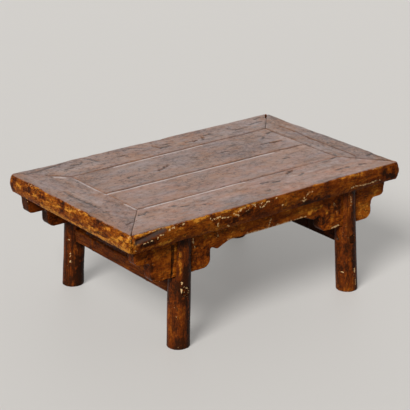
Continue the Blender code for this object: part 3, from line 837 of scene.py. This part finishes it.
def bite_object(bite):
    """A turned block that cuts a missing sliver."""
    mesh = bmesh.new()
    turn = Euler([math.radians(angle) for angle in bite.turn]).to_matrix().to_4x4()
    matrix = Matrix.Translation(bite.middle) @ turn @ Matrix.Diagonal((*bite.size, 1.0))
    bmesh.ops.create_cube(mesh, size=1.0, matrix=matrix)
    return linked(f"bite_{bite.node}", mesh)


def tent(value, low, peak, high):
    """1 at the peak, falling evenly to 0 at low and at high."""
    side = (value - low) / (peak - low) if value < peak else (high - value) / (high - peak)
    return max(0.0, side)


def between(start, end, share):
    """The value at a share of the way from start to end, never past either."""
    return start + (end - start) * min(max(share, 0.0), 1.0)


def hand_cut(place):
    """Where a point of the top lies once its seams run a little out of place, as a hand-cut top's do."""
    back_share = (place.y - INNER_FRONT) / (INNER_BACK - INNER_FRONT)
    right_share = (place.x - INNER_LEFT) / (INNER_RIGHT - INNER_LEFT)
    along = between(*RIGHT_SEAM_DRIFT, back_share) * tent(place.x, 0.0, INNER_RIGHT, OUTER_RIGHT)
    across = between(*FRONT_SEAM_DRIFT, right_share) * tent(place.y, OUTER_FRONT, INNER_FRONT, BOARD_SEAM)
    across += between(*BOARD_SEAM_DRIFT, right_share) * tent(place.y, INNER_FRONT, BOARD_SEAM, INNER_BACK)
    across += between(*BACK_SEAM_DRIFT, right_share) * tent(place.y, BOARD_SEAM, INNER_BACK, OUTER_BACK)
    return place + Vector((along, across, 0.0))


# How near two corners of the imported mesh's loose triangles are when they are one point
MERGE_DISTANCE = 1e-6


def closed_copy(node, name, in_top):
    """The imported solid's mesh with its doubles merged, in an object of its own."""
    mesh = bmesh.new()
    mesh.from_mesh(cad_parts[node].data)
    bmesh.ops.remove_doubles(mesh, verts=mesh.verts, dist=MERGE_DISTANCE)
    if in_top:
        for vertex in mesh.verts:
            vertex.co = hand_cut(vertex.co)
    return linked(name, mesh)


def edge_swell(z):
    """How far the top's outer edge stands back at a height."""
    return EDGE_BULGE * ((z - SLAB_MIDDLE[2]) / SLAB_HALF_THICKNESS) ** 2


def on_front_edge(lines):
    """Lines of (x, z) points laid on the swelling front edge of the top."""
    return [[(x, OUTER_FRONT + edge_swell(z), z) for x, z in line] for line in lines]


def on_left_edge(lines):
    """Lines of (y, z) points laid on the swelling left end of the top."""
    return [[(-OUTER_RIGHT + edge_swell(z), y, z) for y, z in line] for line in lines]


def on_apron(lines, clear=0.0):
    """Lines of (x, z) points laid on the front apron, or clear of it so that they mark it faintly."""
    return [[(x, APRON_FACE - clear, z) for x, z in line] for line in lines]


def on_top(lines):
    """Lines of (x, y) points laid on the top."""
    return [[(x, y, TOP_HEIGHT) for x, y in line] for line in lines]


def along_seams(lines, shift):
    """Lines of (x, y) points laid on the top, moved with its hand-cut seams and then by the shift."""
    return [[hand_cut(Vector((x, y, TOP_HEIGHT))) + shift for x, y in line] for line in lines]


def down_legs(marks):
    """Lines down the round faces of the leaning legs."""
    return [[leg_point(mark, mark.low), leg_point(mark, mark.high)] for mark in marks]


def leg_point(mark, z):
    """The point at a height on the side of a leg that looks the mark's way."""
    low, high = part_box(mark.node)
    point = []
    for axis, turn in enumerate((math.cos, math.sin)):
        outer = high[axis] - LEG_RADIUS
        inner = low[axis] + LEG_RADIUS
        foot, head = (outer, inner) if outer > 0 else (inner, outer)
        middle = between(foot, head, z / high.z)
        point.append(middle + LEG_RADIUS * turn(math.radians(mark.heading)))
    return (*point, z)


def mark_lines():
    """The lines that each mark follows, in space."""
    flakes = on_front_edge(FRONT_FLAKES) + CORNER_FLAKES + on_apron(APRON_FLAKES) + down_legs(LEG_FLAKES_AND_GLINTS)
    worn = on_front_edge(FRONT_WORN) + on_left_edge(LEFT_WORN) + on_apron(APRON_WORN) + down_legs(LEG_WORN)
    # This mark carries sooty stretches and also painted shade, down the legs' front right sides and over the
    # front apron's inner heads
    soot = on_front_edge(FRONT_SOOT) + on_left_edge(LEFT_SOOT) + on_apron(APRON_SOOT) + down_legs(LEG_SHADE)
    return {
        "Split": on_top(SPLITS) + on_apron(APRON_SPLITS),
        "Hollow": on_top(HOLLOWS),
        "Seam": along_seams(SEAMS, Vector()),
        "Rubbed": along_seams(RUBBED_GLINTS, RUBBED_GLINT_SHIFT),
        "Stroke": on_top(STROKES),
        "Worn": worn,
        "Soot": soot + on_apron(HEAD_SHADE, HEAD_SHADE_CLEARANCE) + CORNER_SOOT,
        "Haze": on_top(HAZES),
        "Scar": on_front_edge(SCARS),
        "Flake": flakes,
    }


def guide_objects():
    """The guide of each mark, which holds its lines for the tree to measure from, made once."""
    guides = {}
    for mark, lines in mark_lines().items():
        name = f"{mark} lines"
        guides[mark] = bpy.data.objects.get(name) or line_object(name, lines)
    return guides


def wear_values(timber, in_top):
    """What the settings and the marks give the tree."""
    values = {
        "Slab Half": SLAB_HALF,
        "Slab Middle": SLAB_MIDDLE,
        "In Slab": 1.0 if in_top else 0.0,
        **CORNERS,
        "Bulge": EDGE_BULGE,
        "Arris": timber.arris,
        "Drop": 0.0,
        "Rounding": timber.rounding,
        "Chip Depth": timber.chip_depth,
        "Swell": timber.swell,
        "Relief": timber.relief,
        "Seed": timber.seed,
        "End Soot": 0.0,
        "Overlap": timber.overlap,
    }
    for mark, guide in guide_objects().items():
        values[f"{mark} Lines"] = guide
        values[f"{mark} Width"] = getattr(timber, f"{mark.lower()}_width")
    for mark in DEEP_MARKS:
        values[f"{mark} Depth"] = getattr(timber, f"{mark.lower()}_depth")
    return values


def weathered(context, node, material, grain, slot, in_top=False, **changes):
    """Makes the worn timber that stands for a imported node, with changes to the tree's usual values."""
    timber = context.scene.table_timber
    piece = closed_copy(node, f"{node}_timber", in_top)
    cutters = [bite_object(bite) for bite in BITES if bite.node == node]
    for cutter in cutters:
        cut = piece.modifiers.new("bite", "BOOLEAN")
        cut.object = cutter
    remesh = piece.modifiers.new("grid", "REMESH")
    remesh.mode = "VOXEL"
    remesh.voxel_size = timber.grid * 1
    wear = piece.modifiers.new("wear", "NODES")
    wear.node_group = bpy.data.node_groups.get(TREE_NAME) or weathering_tree()
    values = {"Material": material, "Grain": grain, **wear_values(timber, in_top), **changes}
    set_inputs(wear, values)
    rough = piece.data
    evaluated = piece.evaluated_get(context.evaluated_depsgraph_get())
    finished = bpy.data.meshes.new_from_object(evaluated)
    piece.modifiers.clear()
    piece.data = finished
    bpy.data.meshes.remove(rough)
    finished.name = piece.name
    for cutter in cutters:
        bpy.data.objects.remove(cutter)
    if not finished.polygons:
        raise RuntimeError(f"{node} came out empty")
    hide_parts(node)
    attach(piece, "root")


# Materials


def new_material(name):
    """A material without nodes, and its graph."""
    material = bpy.data.materials.new(name)
    material.use_nodes = True
    material.node_tree.nodes.clear()
    return material, Graph(material.node_tree)


def principled(graph, **inputs):
    """A surface shader with its inputs named as its sockets are, with _ for each space."""
    values = {name.replace("_", " "): value for name, value in inputs.items()}
    return graph.node("ShaderNodeBsdfPrincipled", None, values)


def bumped(graph, height, distance, strength=0.5):
    """Normals that a height turns, which is as deep as the distance says."""
    values = {"Strength": strength, "Distance": distance, "Height": height}
    return graph.node("ShaderNodeBump", None, values)


def use_surface(graph, shader):
    """Makes a shader the material's surface."""
    output = graph.tree.nodes.new("ShaderNodeOutputMaterial")
    graph.tree.links.new(shader.socket, output.inputs["Surface"])


def stored(graph, name):
    """A value that the weathering kept at each point."""
    return graph.node("ShaderNodeAttribute", {"attribute_name": name}, output="Fac")


def object_place(graph):
    """Where a point lies in its object, which is in the shared frame."""
    return graph.node("ShaderNodeTexCoord", None, None, output="Object")


def along_grain(graph, place, grain, power=1.0):
    """A place squeezed along the grain, so that patterns on it are drawn out that way."""
    return graph.vector("MULTIPLY", place, [stretch ** power for stretch in grain])


def thin_lines(graph, value, width):
    """1 along the lines where a noise passes its middle, which wander like cracks."""
    return 1 - graph.rise(abs(value - 0.5), width * 0.3, width)


# A coat of lacquer: its tone from dark to golden, how far that varies and at how many waves to a metre, its
# dark streaks, pits and gloss, how firmly it holds against flaking, and what brightens it
Coat = namedtuple("Coat", "tone contrast scale streaks pits gloss hold gain")
PLAIN = Coat(tone=0.53, contrast=0.7, scale=60.0, streaks=0.25, pits=0.50, gloss=0.01, hold=0.71, gain=1.08)

# Its patterns, how deep its bumps are, and how far worn and sooty stretches shift its tone; some sooty
# stretches are painted shade
MARK_TONE = 0.24
SIDE_BUMP = 0.0008
SIDE_TONES = Pattern(15.0, 3.0, 0.55, draw=6.0)
SIDE_MOTTLE = Pattern(PLAIN.scale, 6.0, 0.70, draw=7.0, twist=1.6)
SIDE_GRIT = Pattern(190.0, 4.0, 0.65, draw=8.0)
SIDE_STAINS = Pattern(130.0, 4.0, 0.6, draw=9.0, twist=0.3)
SIDE_PITS = Pattern(110.0, 5.0, 0.65, draw=10.0, twist=0.6)
SIDE_CRACKS = Pattern(62.0, 4.0, 0.65, draw=11.0)
SIDE_CRACK_WIDTH = 0.024
SIDE_FLAKES = Pattern(260.0, 4.0, 0.62, draw=14.0)


def side_lacquer(graph, place, grain, colours, seed, coat):
    """Lacquer from thick and dark to thin and golden, thinnest on the arrises, and flaked off in places."""
    along = along_grain(graph, place, grain)
    mildly = along_grain(graph, place, grain, MILD_STRETCH)
    broad = graph.noise(place, SIDE_TONES, seed)
    mottle = graph.noise(mildly, SIDE_MOTTLE._replace(scale=coat.scale), seed)
    fine = graph.noise(place, SIDE_GRIT, seed)
    stain = graph.noise(along, SIDE_STAINS, seed)

    # Its tone, from what varies, its worn arrises, the stretches worn golden, and the sooty stretches, some
    # of which are painted shade
    varied = (broad - 0.5) * 0.8 + (mottle - 0.5) * coat.contrast + (fine - 0.5) * 0.6
    rubbed_arris = graph.rise(stored(graph, "edge"), 0.20, 0.80) * graph.rise(mottle, 0.44, 0.60) * 0.13
    thin = varied + rubbed_arris + coat.tone
    thin = thin + stored(graph, "worn") * MARK_TONE - stored(graph, "soot") * MARK_TONE
    stops = [(0.30, colours.brown), (0.46, colours.red_brown), (0.62, colours.amber), (0.80, colours.gold)]
    side = graph.scaled(graph.layers(thin, stops), coat.gain)

    # Streaks, pits, cracks, chips, the scar, bare flakes and splits, each over the ones before
    side = graph.blend(graph.rise(stain, 0.52, 0.64) * coat.streaks, side, colours.brown)
    pit = graph.rise(graph.noise(mildly, SIDE_PITS, seed), 0.57, 0.63)
    crack = thin_lines(graph, graph.noise(mildly, SIDE_CRACKS, seed), SIDE_CRACK_WIDTH)
    crack = crack * graph.rise(fine, 0.38, 0.52)
    side = graph.blend((pit * coat.pits).at_least(crack * 0.75), side, colours.black)
    side = graph.blend(stored(graph, "chip") * 0.4, side, colours.black)
    side = graph.blend(stored(graph, "scar") * 0.9, side, colours.scar)
    limit = coat.hold - stored(graph, "bared") * 0.24
    flake = graph.rise(graph.noise(place, SIDE_FLAKES, seed), limit, limit + 0.02)
    side = graph.blend(flake, side, colours.bare)
    # Splits are painted near black; in the front apron's slot this is painted shade
    side = graph.blend(stored(graph, "split") * 0.9, side, colours.black)
    return principled(
        graph,
        Base_Color=side,
        Roughness=0.27 + (mottle - 0.5) * 0.6 + flake * 0.3 + pit * 0.2,
        Specular_IOR_Level=0.02,
        Coat_Weight=coat.gloss,
        Coat_Roughness=0.12,
        Normal=bumped(graph, mottle * 1.2 + fine * 0.6 - pit * 0.5 - crack * 0.3 - flake * 0.4, SIDE_BUMP),
    )


# The patterns of the dull finish, how deep its bumps are, and what the lightest tint multiplies a colour by
TOP_BUMP = 0.0016
TOP_SPECKS = Pattern(130.0, 4.0, 0.7)
TOP_FIBRES = Pattern(140.0, 5.0, 0.65, draw=1.0)
TOP_DRIFT = Pattern(24.0, 5.0, 0.6, draw=2.0, twist=0.4)
TOP_PATCHES = Pattern(20.0, 4.0, 0.6, draw=3.0)
TOP_SMUDGES = Pattern(58.0, 6.0, 0.70, draw=4.0, twist=0.6)
TOP_CRACKS = Pattern(50.0, 5.0, 0.70, draw=15.0)
TOP_CRACK_WIDTH = 0.022
TOP_CLOUDS = Pattern(30.0, 5.0, 0.65, draw=16.0, twist=0.5)
TOP_GRIT = Pattern(100.0, 4.0, 0.70, draw=17.0, twist=0.3)
TOP_HUES = Pattern(21.0, 5.0, 0.65, draw=19.0, twist=0.7)
TOP_SHEEN = Pattern(11.0, 2.0, 0.5, draw=20.0)
TINT_RANGE = 2.0


def top_finish(graph, place, grain, colours, seed, dust, age):
    """Dull worn lacquer: a pink-brown haze, broken by fine dark grain, cracks, smudges and seams, and paled
    along the seams in part by a painted highlight.

    Dust is how grey and dull the timber has gone, from 0 to 1, and age makes its sheen grittier.
    """
    along = along_grain(graph, place, grain)
    mildly = along_grain(graph, place, grain, MILD_STRETCH)
    loosely = along_grain(graph, place, grain, LOOSE_STRETCH)
    split = stored(graph, "split")
    speck = graph.noise(place, TOP_SPECKS, seed)
    fibre = graph.noise(along, TOP_FIBRES, seed)
    drift = graph.noise(mildly, TOP_DRIFT, seed)
    patch = graph.noise(loosely, TOP_PATCHES, seed)
    smudge = graph.noise(loosely, TOP_SMUDGES, seed)
    cloud = graph.noise(loosely, TOP_CLOUDS, seed)
    grit = graph.noise(loosely, TOP_GRIT, seed)
    hue = graph.noise(loosely, TOP_HUES, seed)
    broad = graph.noise(loosely, TOP_SHEEN, seed)
    crack = thin_lines(graph, graph.noise(loosely, TOP_CRACKS, seed), TOP_CRACK_WIDTH)
    crack = crack * graph.rise(drift, 0.45, 0.60)
    haze = stored(graph, "haze") * graph.rise(fibre, 0.65, 0.40)
    rubbed = stored(graph, "rubbed") * (0.70 + graph.rise(cloud, 0.40, 0.55) * 0.30)

    # Dark marks: fibres, specks, smudges, cracks, strokes, seams and splits
    marks = (graph.rise(fibre, 0.53, 0.66) * 0.34).at_least(graph.rise(speck, 0.50, 0.66) * 0.62)
    marks = marks.at_least(graph.rise(smudge, 0.57, 0.66) * 0.62).at_least(crack * 0.50)
    marks = marks * (0.935 + dust * 0.77)
    marks = marks.at_least(stored(graph, "stroke") * graph.rise(speck, 0.34, 0.54) * 0.95)
    seam = graph.rise(stored(graph, "seam"), 0.70, 0.95) * (0.40 + graph.rise(cloud, 0.42, 0.58) * 0.55)
    marks = (marks * (1 - rubbed)).at_least(seam).at_least(split)

    # The colour under them: red, grey and warm patches, tinted streaks, and the pale lines along the seams,
    # partly wear and partly a painted highlight
    top = graph.blend(graph.rise(patch, 0.42, 0.62) * (1 - dust), colours.top_mid, colours.top_red)
    top = graph.blend((graph.rise(drift, 0.45, 0.66) * 0.6).at_least(dust), top, colours.top_grey)
    top = graph.blend(graph.rise(cloud, 0.62, 0.40) * 0.55, top, colours.top_warm)
    tint = graph.blend(graph.rise(hue, 0.32, 0.68), colours.top_cool, colours.top_ruddy)
    top = graph.vector("MULTIPLY", top, graph.scaled(tint, TINT_RANGE))
    top = graph.blend((haze * 0.16).at_least(rubbed * 0.80), top, colours.top_pale_and_glint)
    top = graph.blend(marks * 0.9, top, colours.top_dark)

    # A sheen that comes and goes
    sheen = 0.66 - dust * 0.30 + (cloud - 0.5) * 1.3 + (broad - 0.5) + (grit - 0.5) * (2.0 * age)
    return principled(
        graph,
        Base_Color=top,
        Roughness=0.38 + (drift - 0.5) * 0.5 + split * 0.3,
        Specular_IOR_Level=0.15,
        Coat_Weight=(sheen * (1 - marks * 0.70) + haze * 0.15).at_least(rubbed * 1.1),
        Coat_Roughness=0.36,
        Normal=bumped(graph, speck * 0.5 - fibre * 0.6 - smudge * 0.8 - crack * 0.4, TOP_BUMP),
    )


# Frays the line between the dull finish of the top and the lacquer of its sides
FRAYED_EDGE = Pattern(120.0, 3.0, 0.6, draw=18.0)


def lacquer(name, grain, colours, seed, coat=PLAIN, dust=None, age=1.0):
    """Old lacquer over grained wood. With dust, it is worn dull where it looks up, to a ragged edge."""
    material, graph = new_material(name)
    place = object_place(graph)
    shader = side_lacquer(graph, place, grain, colours, seed, coat)
    if dust is not None:
        fray = graph.noise(place, FRAYED_EDGE, seed) - 0.5
        up = stored(graph, "up") * (1 - graph.rise(stored(graph, "edge") + fray * 1.4, 0.30, 0.75))
        dull = top_finish(graph, place, grain, colours, seed, dust, age)
        shader = graph.node("ShaderNodeMixShader", None, {0: up, 1: shader, 2: dull})
    use_surface(graph, shader)
    return material


# The patterns of unlacquered wood, and how deep its bumps are
WOOD_BUMP = 0.0004
WOOD_STREAKS = Pattern(90.0, 5.0, 0.6)
WOOD_PORES = Pattern(600.0, 3.0, 0.6, draw=2.0)


def bare_wood(name, grain, colours, seed):
    """Dry unlacquered wood with its pores."""
    material, graph = new_material(name)
    along = along_grain(graph, object_place(graph), grain)
    streak = graph.noise(along, WOOD_STREAKS, seed)
    pores = graph.noise(along, WOOD_PORES, seed)
    shade = graph.blend(graph.rise(streak, 0.35, 0.70), colours.brown, colours.hidden)
    shader = principled(
        graph,
        Base_Color=graph.blend(graph.rise(pores, 0.58, 0.70) * 0.6, shade, colours.brown),
        Roughness=0.6 + pores * 0.3,
        Specular_IOR_Level=0.2,
        Normal=bumped(graph, streak * 0.7 + pores * 0.4, WOOD_BUMP, strength=0.4),
    )
    use_surface(graph, shader)
    return material


# Operators


def nodes_named(prefix):
    """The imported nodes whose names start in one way, in order."""
    return sorted(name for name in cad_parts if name.startswith(prefix))


class TABLE_OT_frame(bpy.types.Operator):
    """Makes the four mitred members of the top's frame"""

    bl_idname = "offering_table.frame"
    bl_label = "Top frame"

    def execute(self, context):
        colours = context.scene.table_lacquer
        swirled = PLAIN._replace(tone=0.58, contrast=1.15, scale=150.0, pits=0.75)

        # The grain, seed, coat and dust of each member
        finishes = {
            "front": (GRAIN_ALONG_X, 1.0, PLAIN, 0.0),
            "back": (GRAIN_ALONG_X, 12.0, PLAIN, 0.5),
            "left": (GRAIN_ALONG_Y, 31.0, swirled, 0.38),
            "right": (GRAIN_ALONG_Y, 42.0, swirled, 0.7),
        }
        for face, (grain, seed, coat, dust) in finishes.items():
            material = lacquer(f"frame_{face}", grain, colours, seed, coat, dust, age=1.5)
            overlap = context.scene.table_timber.overlap * (1 if grain == GRAIN_ALONG_X else -1)
            weathered(context, f"top_frame_{face}", material, grain, "frame_wood", True, Overlap=overlap)
        return {"FINISHED"}


class TABLE_OT_boards(bpy.types.Operator):
    """Makes the two floating boards of the panel"""

    bl_idname = "offering_table.boards"
    bl_label = "Panel boards"

    def execute(self, context):
        colours = context.scene.table_lacquer

        # The seed and dust of each board, and how far it has sunk
        finishes = {
            "top_board_back": (50.0, 0.45, 0.0002),
            "top_board_front": (61.0, 0.25, 0.0005),
        }
        for node, (seed, dust, drop) in finishes.items():
            material = lacquer(node, GRAIN_ALONG_X, colours, seed, dust=dust)
            weathered(context, node, material, GRAIN_ALONG_X, "panel_wood", True, Drop=drop, Overlap=0.0)
        return {"FINISHED"}


class TABLE_OT_aprons(bpy.types.Operator):
    """Makes the two aprons with their cloud-shaped heads"""

    bl_idname = "offering_table.aprons"
    bl_label = "Aprons"

    def execute(self, context):
        colours = context.scene.table_lacquer
        timber = context.scene.table_timber
        # The aprons' end faces are darkened with painted shade. The back apron's lower tone is painted shade
        # too, and the gain of 1.6 brightens both aprons' colour as painted light against the shade under the
        # top
        changes = {"Swell": timber.base_swell, "End Soot": timber.end_soot}
        for node, tone in (("apron_front", 0.56), ("apron_back", 0.42)):
            coat = PLAIN._replace(tone=tone, contrast=0.55, hold=0.69, gain=1.6)
            material = lacquer(node, GRAIN_ALONG_X, colours, seed=80.0, coat=coat)
            weathered(context, node, material, GRAIN_ALONG_X, "apron_wood", **changes)
        return {"FINISHED"}


class TABLE_OT_legs(bpy.types.Operator):
    """Makes the four leaning round legs"""

    bl_idname = "offering_table.legs"
    bl_label = "Legs"

    def execute(self, context):
        colours = context.scene.table_lacquer
        coat = PLAIN._replace(tone=0.45, contrast=0.7, streaks=0.7, gloss=0.07, hold=0.69)
        material = lacquer("leg", GRAIN_ALONG_Z, colours, seed=110.0, coat=coat)
        changes = {"Chip Depth": context.scene.table_timber.base_chip_depth}
        for node in nodes_named("leg_"):
            weathered(context, node, material, GRAIN_ALONG_Z, "leg_wood", **changes)
        return {"FINISHED"}


class TABLE_OT_rails(bpy.types.Operator):
    """Makes the two end rails"""

    bl_idname = "offering_table.rails"
    bl_label = "End rails"

    def execute(self, context):
        colours = context.scene.table_lacquer
        timber = context.scene.table_timber
        changes = {"Chip Depth": timber.base_chip_depth, "Swell": timber.base_swell}
        # The right rail's lower tone is painted shade, for the deep shade under the table
        for node, tone in (("side_rail_left", 0.48), ("side_rail_right", 0.30)):
            coat = PLAIN._replace(tone=tone, streaks=0.6)
            material = lacquer(node, GRAIN_ALONG_Y, colours, seed=140.0, coat=coat)
            weathered(context, node, material, GRAIN_ALONG_Y, "rail_wood", **changes)
        return {"FINISHED"}


class TABLE_OT_hidden(bpy.types.Operator):
    """Finishes the battens and the pegs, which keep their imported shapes"""

    bl_idname = "offering_table.hidden"
    bl_label = "Battens and pegs"

    def execute(self, context):
        colours = context.scene.table_lacquer
        batten = bare_wood("batten", GRAIN_ALONG_Y, colours, seed=170.0)
        peg = bare_wood("peg", GRAIN_ALONG_Z, colours, seed=180.0)
        for prefix, material in (("top_batten_", batten), ("mitre_peg_", peg), ("rail_peg_", peg)):
            for node in nodes_named(prefix):
                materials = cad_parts[node].data.materials
                materials.clear()
                materials.append(material)
        return {"FINISHED"}


# The stage: the size of its floor, and the side and spread of its lamp
FLOOR_RADIUS = 14.0
FLOOR_SIDES = 96
KEY_SIDE = (-2.05, -0.95, 1.95)
KEY_SPREAD = math.radians(25)


def seen_directly(graph):
    """1 for what the camera, a gloss or glass shows, and 0 for the light that falls on the table."""
    rays = ("Camera", "Glossy", "Transmission")
    seen = [graph.node("ShaderNodeLightPath", None, None, output=f"Is {ray} Ray") for ray in rays]
    return seen[0].at_least(seen[1]).at_least(seen[2])


def make_floor(settings):
    """A plain floor, paler to the eye than in the light that it throws back on the table."""
    mesh = bmesh.new()
    bmesh.ops.create_circle(mesh, cap_ends=True, radius=FLOOR_RADIUS, segments=FLOOR_SIDES)
    floor = linked("floor", mesh)
    material, graph = new_material("floor")
    seen = seen_directly(graph)
    shade = graph.blend(seen, settings.bounce, settings.floor)
    glow = graph.blend(seen, (0.0, 0.0, 0.0), settings.glow)
    surface = principled(graph, Base_Color=shade, Roughness=0.6, Emission_Color=glow, Emission_Strength=1.0)
    use_surface(graph, surface)
    floor.data.materials.append(material)


def make_light(settings):
    """A broad, far lamp, which lights the whole floor evenly."""
    lamp = bpy.data.lights.new("key", "SUN")
    lamp.energy = settings.key
    lamp.angle = KEY_SPREAD
    key = bpy.data.objects.new("key", lamp)
    key.rotation_euler = (-Vector(KEY_SIDE)).to_track_quat("-Z", "Y").to_euler()
    bpy.context.scene.collection.objects.link(key)


def make_surround(settings):
    """Even fill light, with a paler surround for the camera and for gloss to show."""
    world = bpy.data.worlds.new("surround")
    world.use_nodes = True
    bpy.context.scene.world = world
    graph = Graph(world.node_tree)
    world.node_tree.nodes.clear()
    fill = graph.node("ShaderNodeBackground", None, {"Color": (1, 1, 1, 1), "Strength": settings.fill})
    pale = graph.node("ShaderNodeBackground", None, {"Color": (*settings.sky, 1), "Strength": 1.0})
    surface = graph.node("ShaderNodeMixShader", None, {0: seen_directly(graph), 1: fill, 2: pale})
    output = world.node_tree.nodes.new("ShaderNodeOutputWorld")
    world.node_tree.links.new(surface.socket, output.inputs["Surface"])


def make_camera():
    """A camera that looks down on the table from its front left."""
    lens = bpy.data.cameras.new("camera")
    lens.sensor_width = SENSOR_WIDTH
    lens.lens = CAMERA_FOCAL_PIXELS * SENSOR_WIDTH / FRAME_PIXELS
    camera = bpy.data.objects.new("camera", lens)
    camera.location = CAMERA_PLACE
    camera.rotation_euler = (math.pi / 2 - CAMERA_PITCH, 0.0, -CAMERA_YAW)
    bpy.context.scene.collection.objects.link(camera)
    bpy.context.scene.camera = camera


class TABLE_OT_stage(bpy.types.Operator):
    """Sets up the plain floor, the soft light and the camera"""

    bl_idname = "offering_table.stage"
    bl_label = "Stage"

    def execute(self, context):
        settings = context.scene.table_stage
        make_floor(settings)
        make_light(settings)
        make_surround(settings)
        make_camera()
        context.scene.view_settings.view_transform = "Standard"
        return {"FINISHED"}


class TABLE_PT_panel(bpy.types.Panel):
    """Lists the table's pieces in the sidebar"""

    bl_idname = "TABLE_PT_panel"
    bl_label = "Offering Table"
    bl_space_type = "VIEW_3D"
    bl_region_type = "UI"
    bl_category = "Offering Table"

    def draw(self, context):
        for operator in OPERATORS:
            self.layout.operator(operator.bl_idname)
        for name, group in SETTINGS.items():
            for setting in group.__annotations__:
                self.layout.prop(getattr(context.scene, name), setting)


SETTINGS = {"table_timber": TimberSettings, "table_lacquer": LacquerSettings, "table_stage": StageSettings}
OPERATORS = [
    TABLE_OT_frame,
    TABLE_OT_boards,
    TABLE_OT_aprons,
    TABLE_OT_legs,
    TABLE_OT_rails,
    TABLE_OT_hidden,
    TABLE_OT_stage,
]


def register():
    for group in (*SETTINGS.values(), *OPERATORS, TABLE_PT_panel):
        bpy.utils.register_class(group)
    for name, group in SETTINGS.items():
        setattr(bpy.types.Scene, name, PointerProperty(type=group))


def unregister():
    for name in SETTINGS:
        delattr(bpy.types.Scene, name)
    for group in (TABLE_PT_panel, *reversed(OPERATORS), *reversed(SETTINGS.values())):
        bpy.utils.unregister_class(group)


def main():
    register()
    bpy.ops.offering_table.frame()
    bpy.ops.offering_table.boards()
    bpy.ops.offering_table.aprons()
    bpy.ops.offering_table.legs()
    bpy.ops.offering_table.rails()
    bpy.ops.offering_table.hidden()
    bpy.ops.offering_table.stage()
    for guide in guide_objects().values():
        bpy.data.objects.remove(guide)


if __name__ == "__main__":
    main()
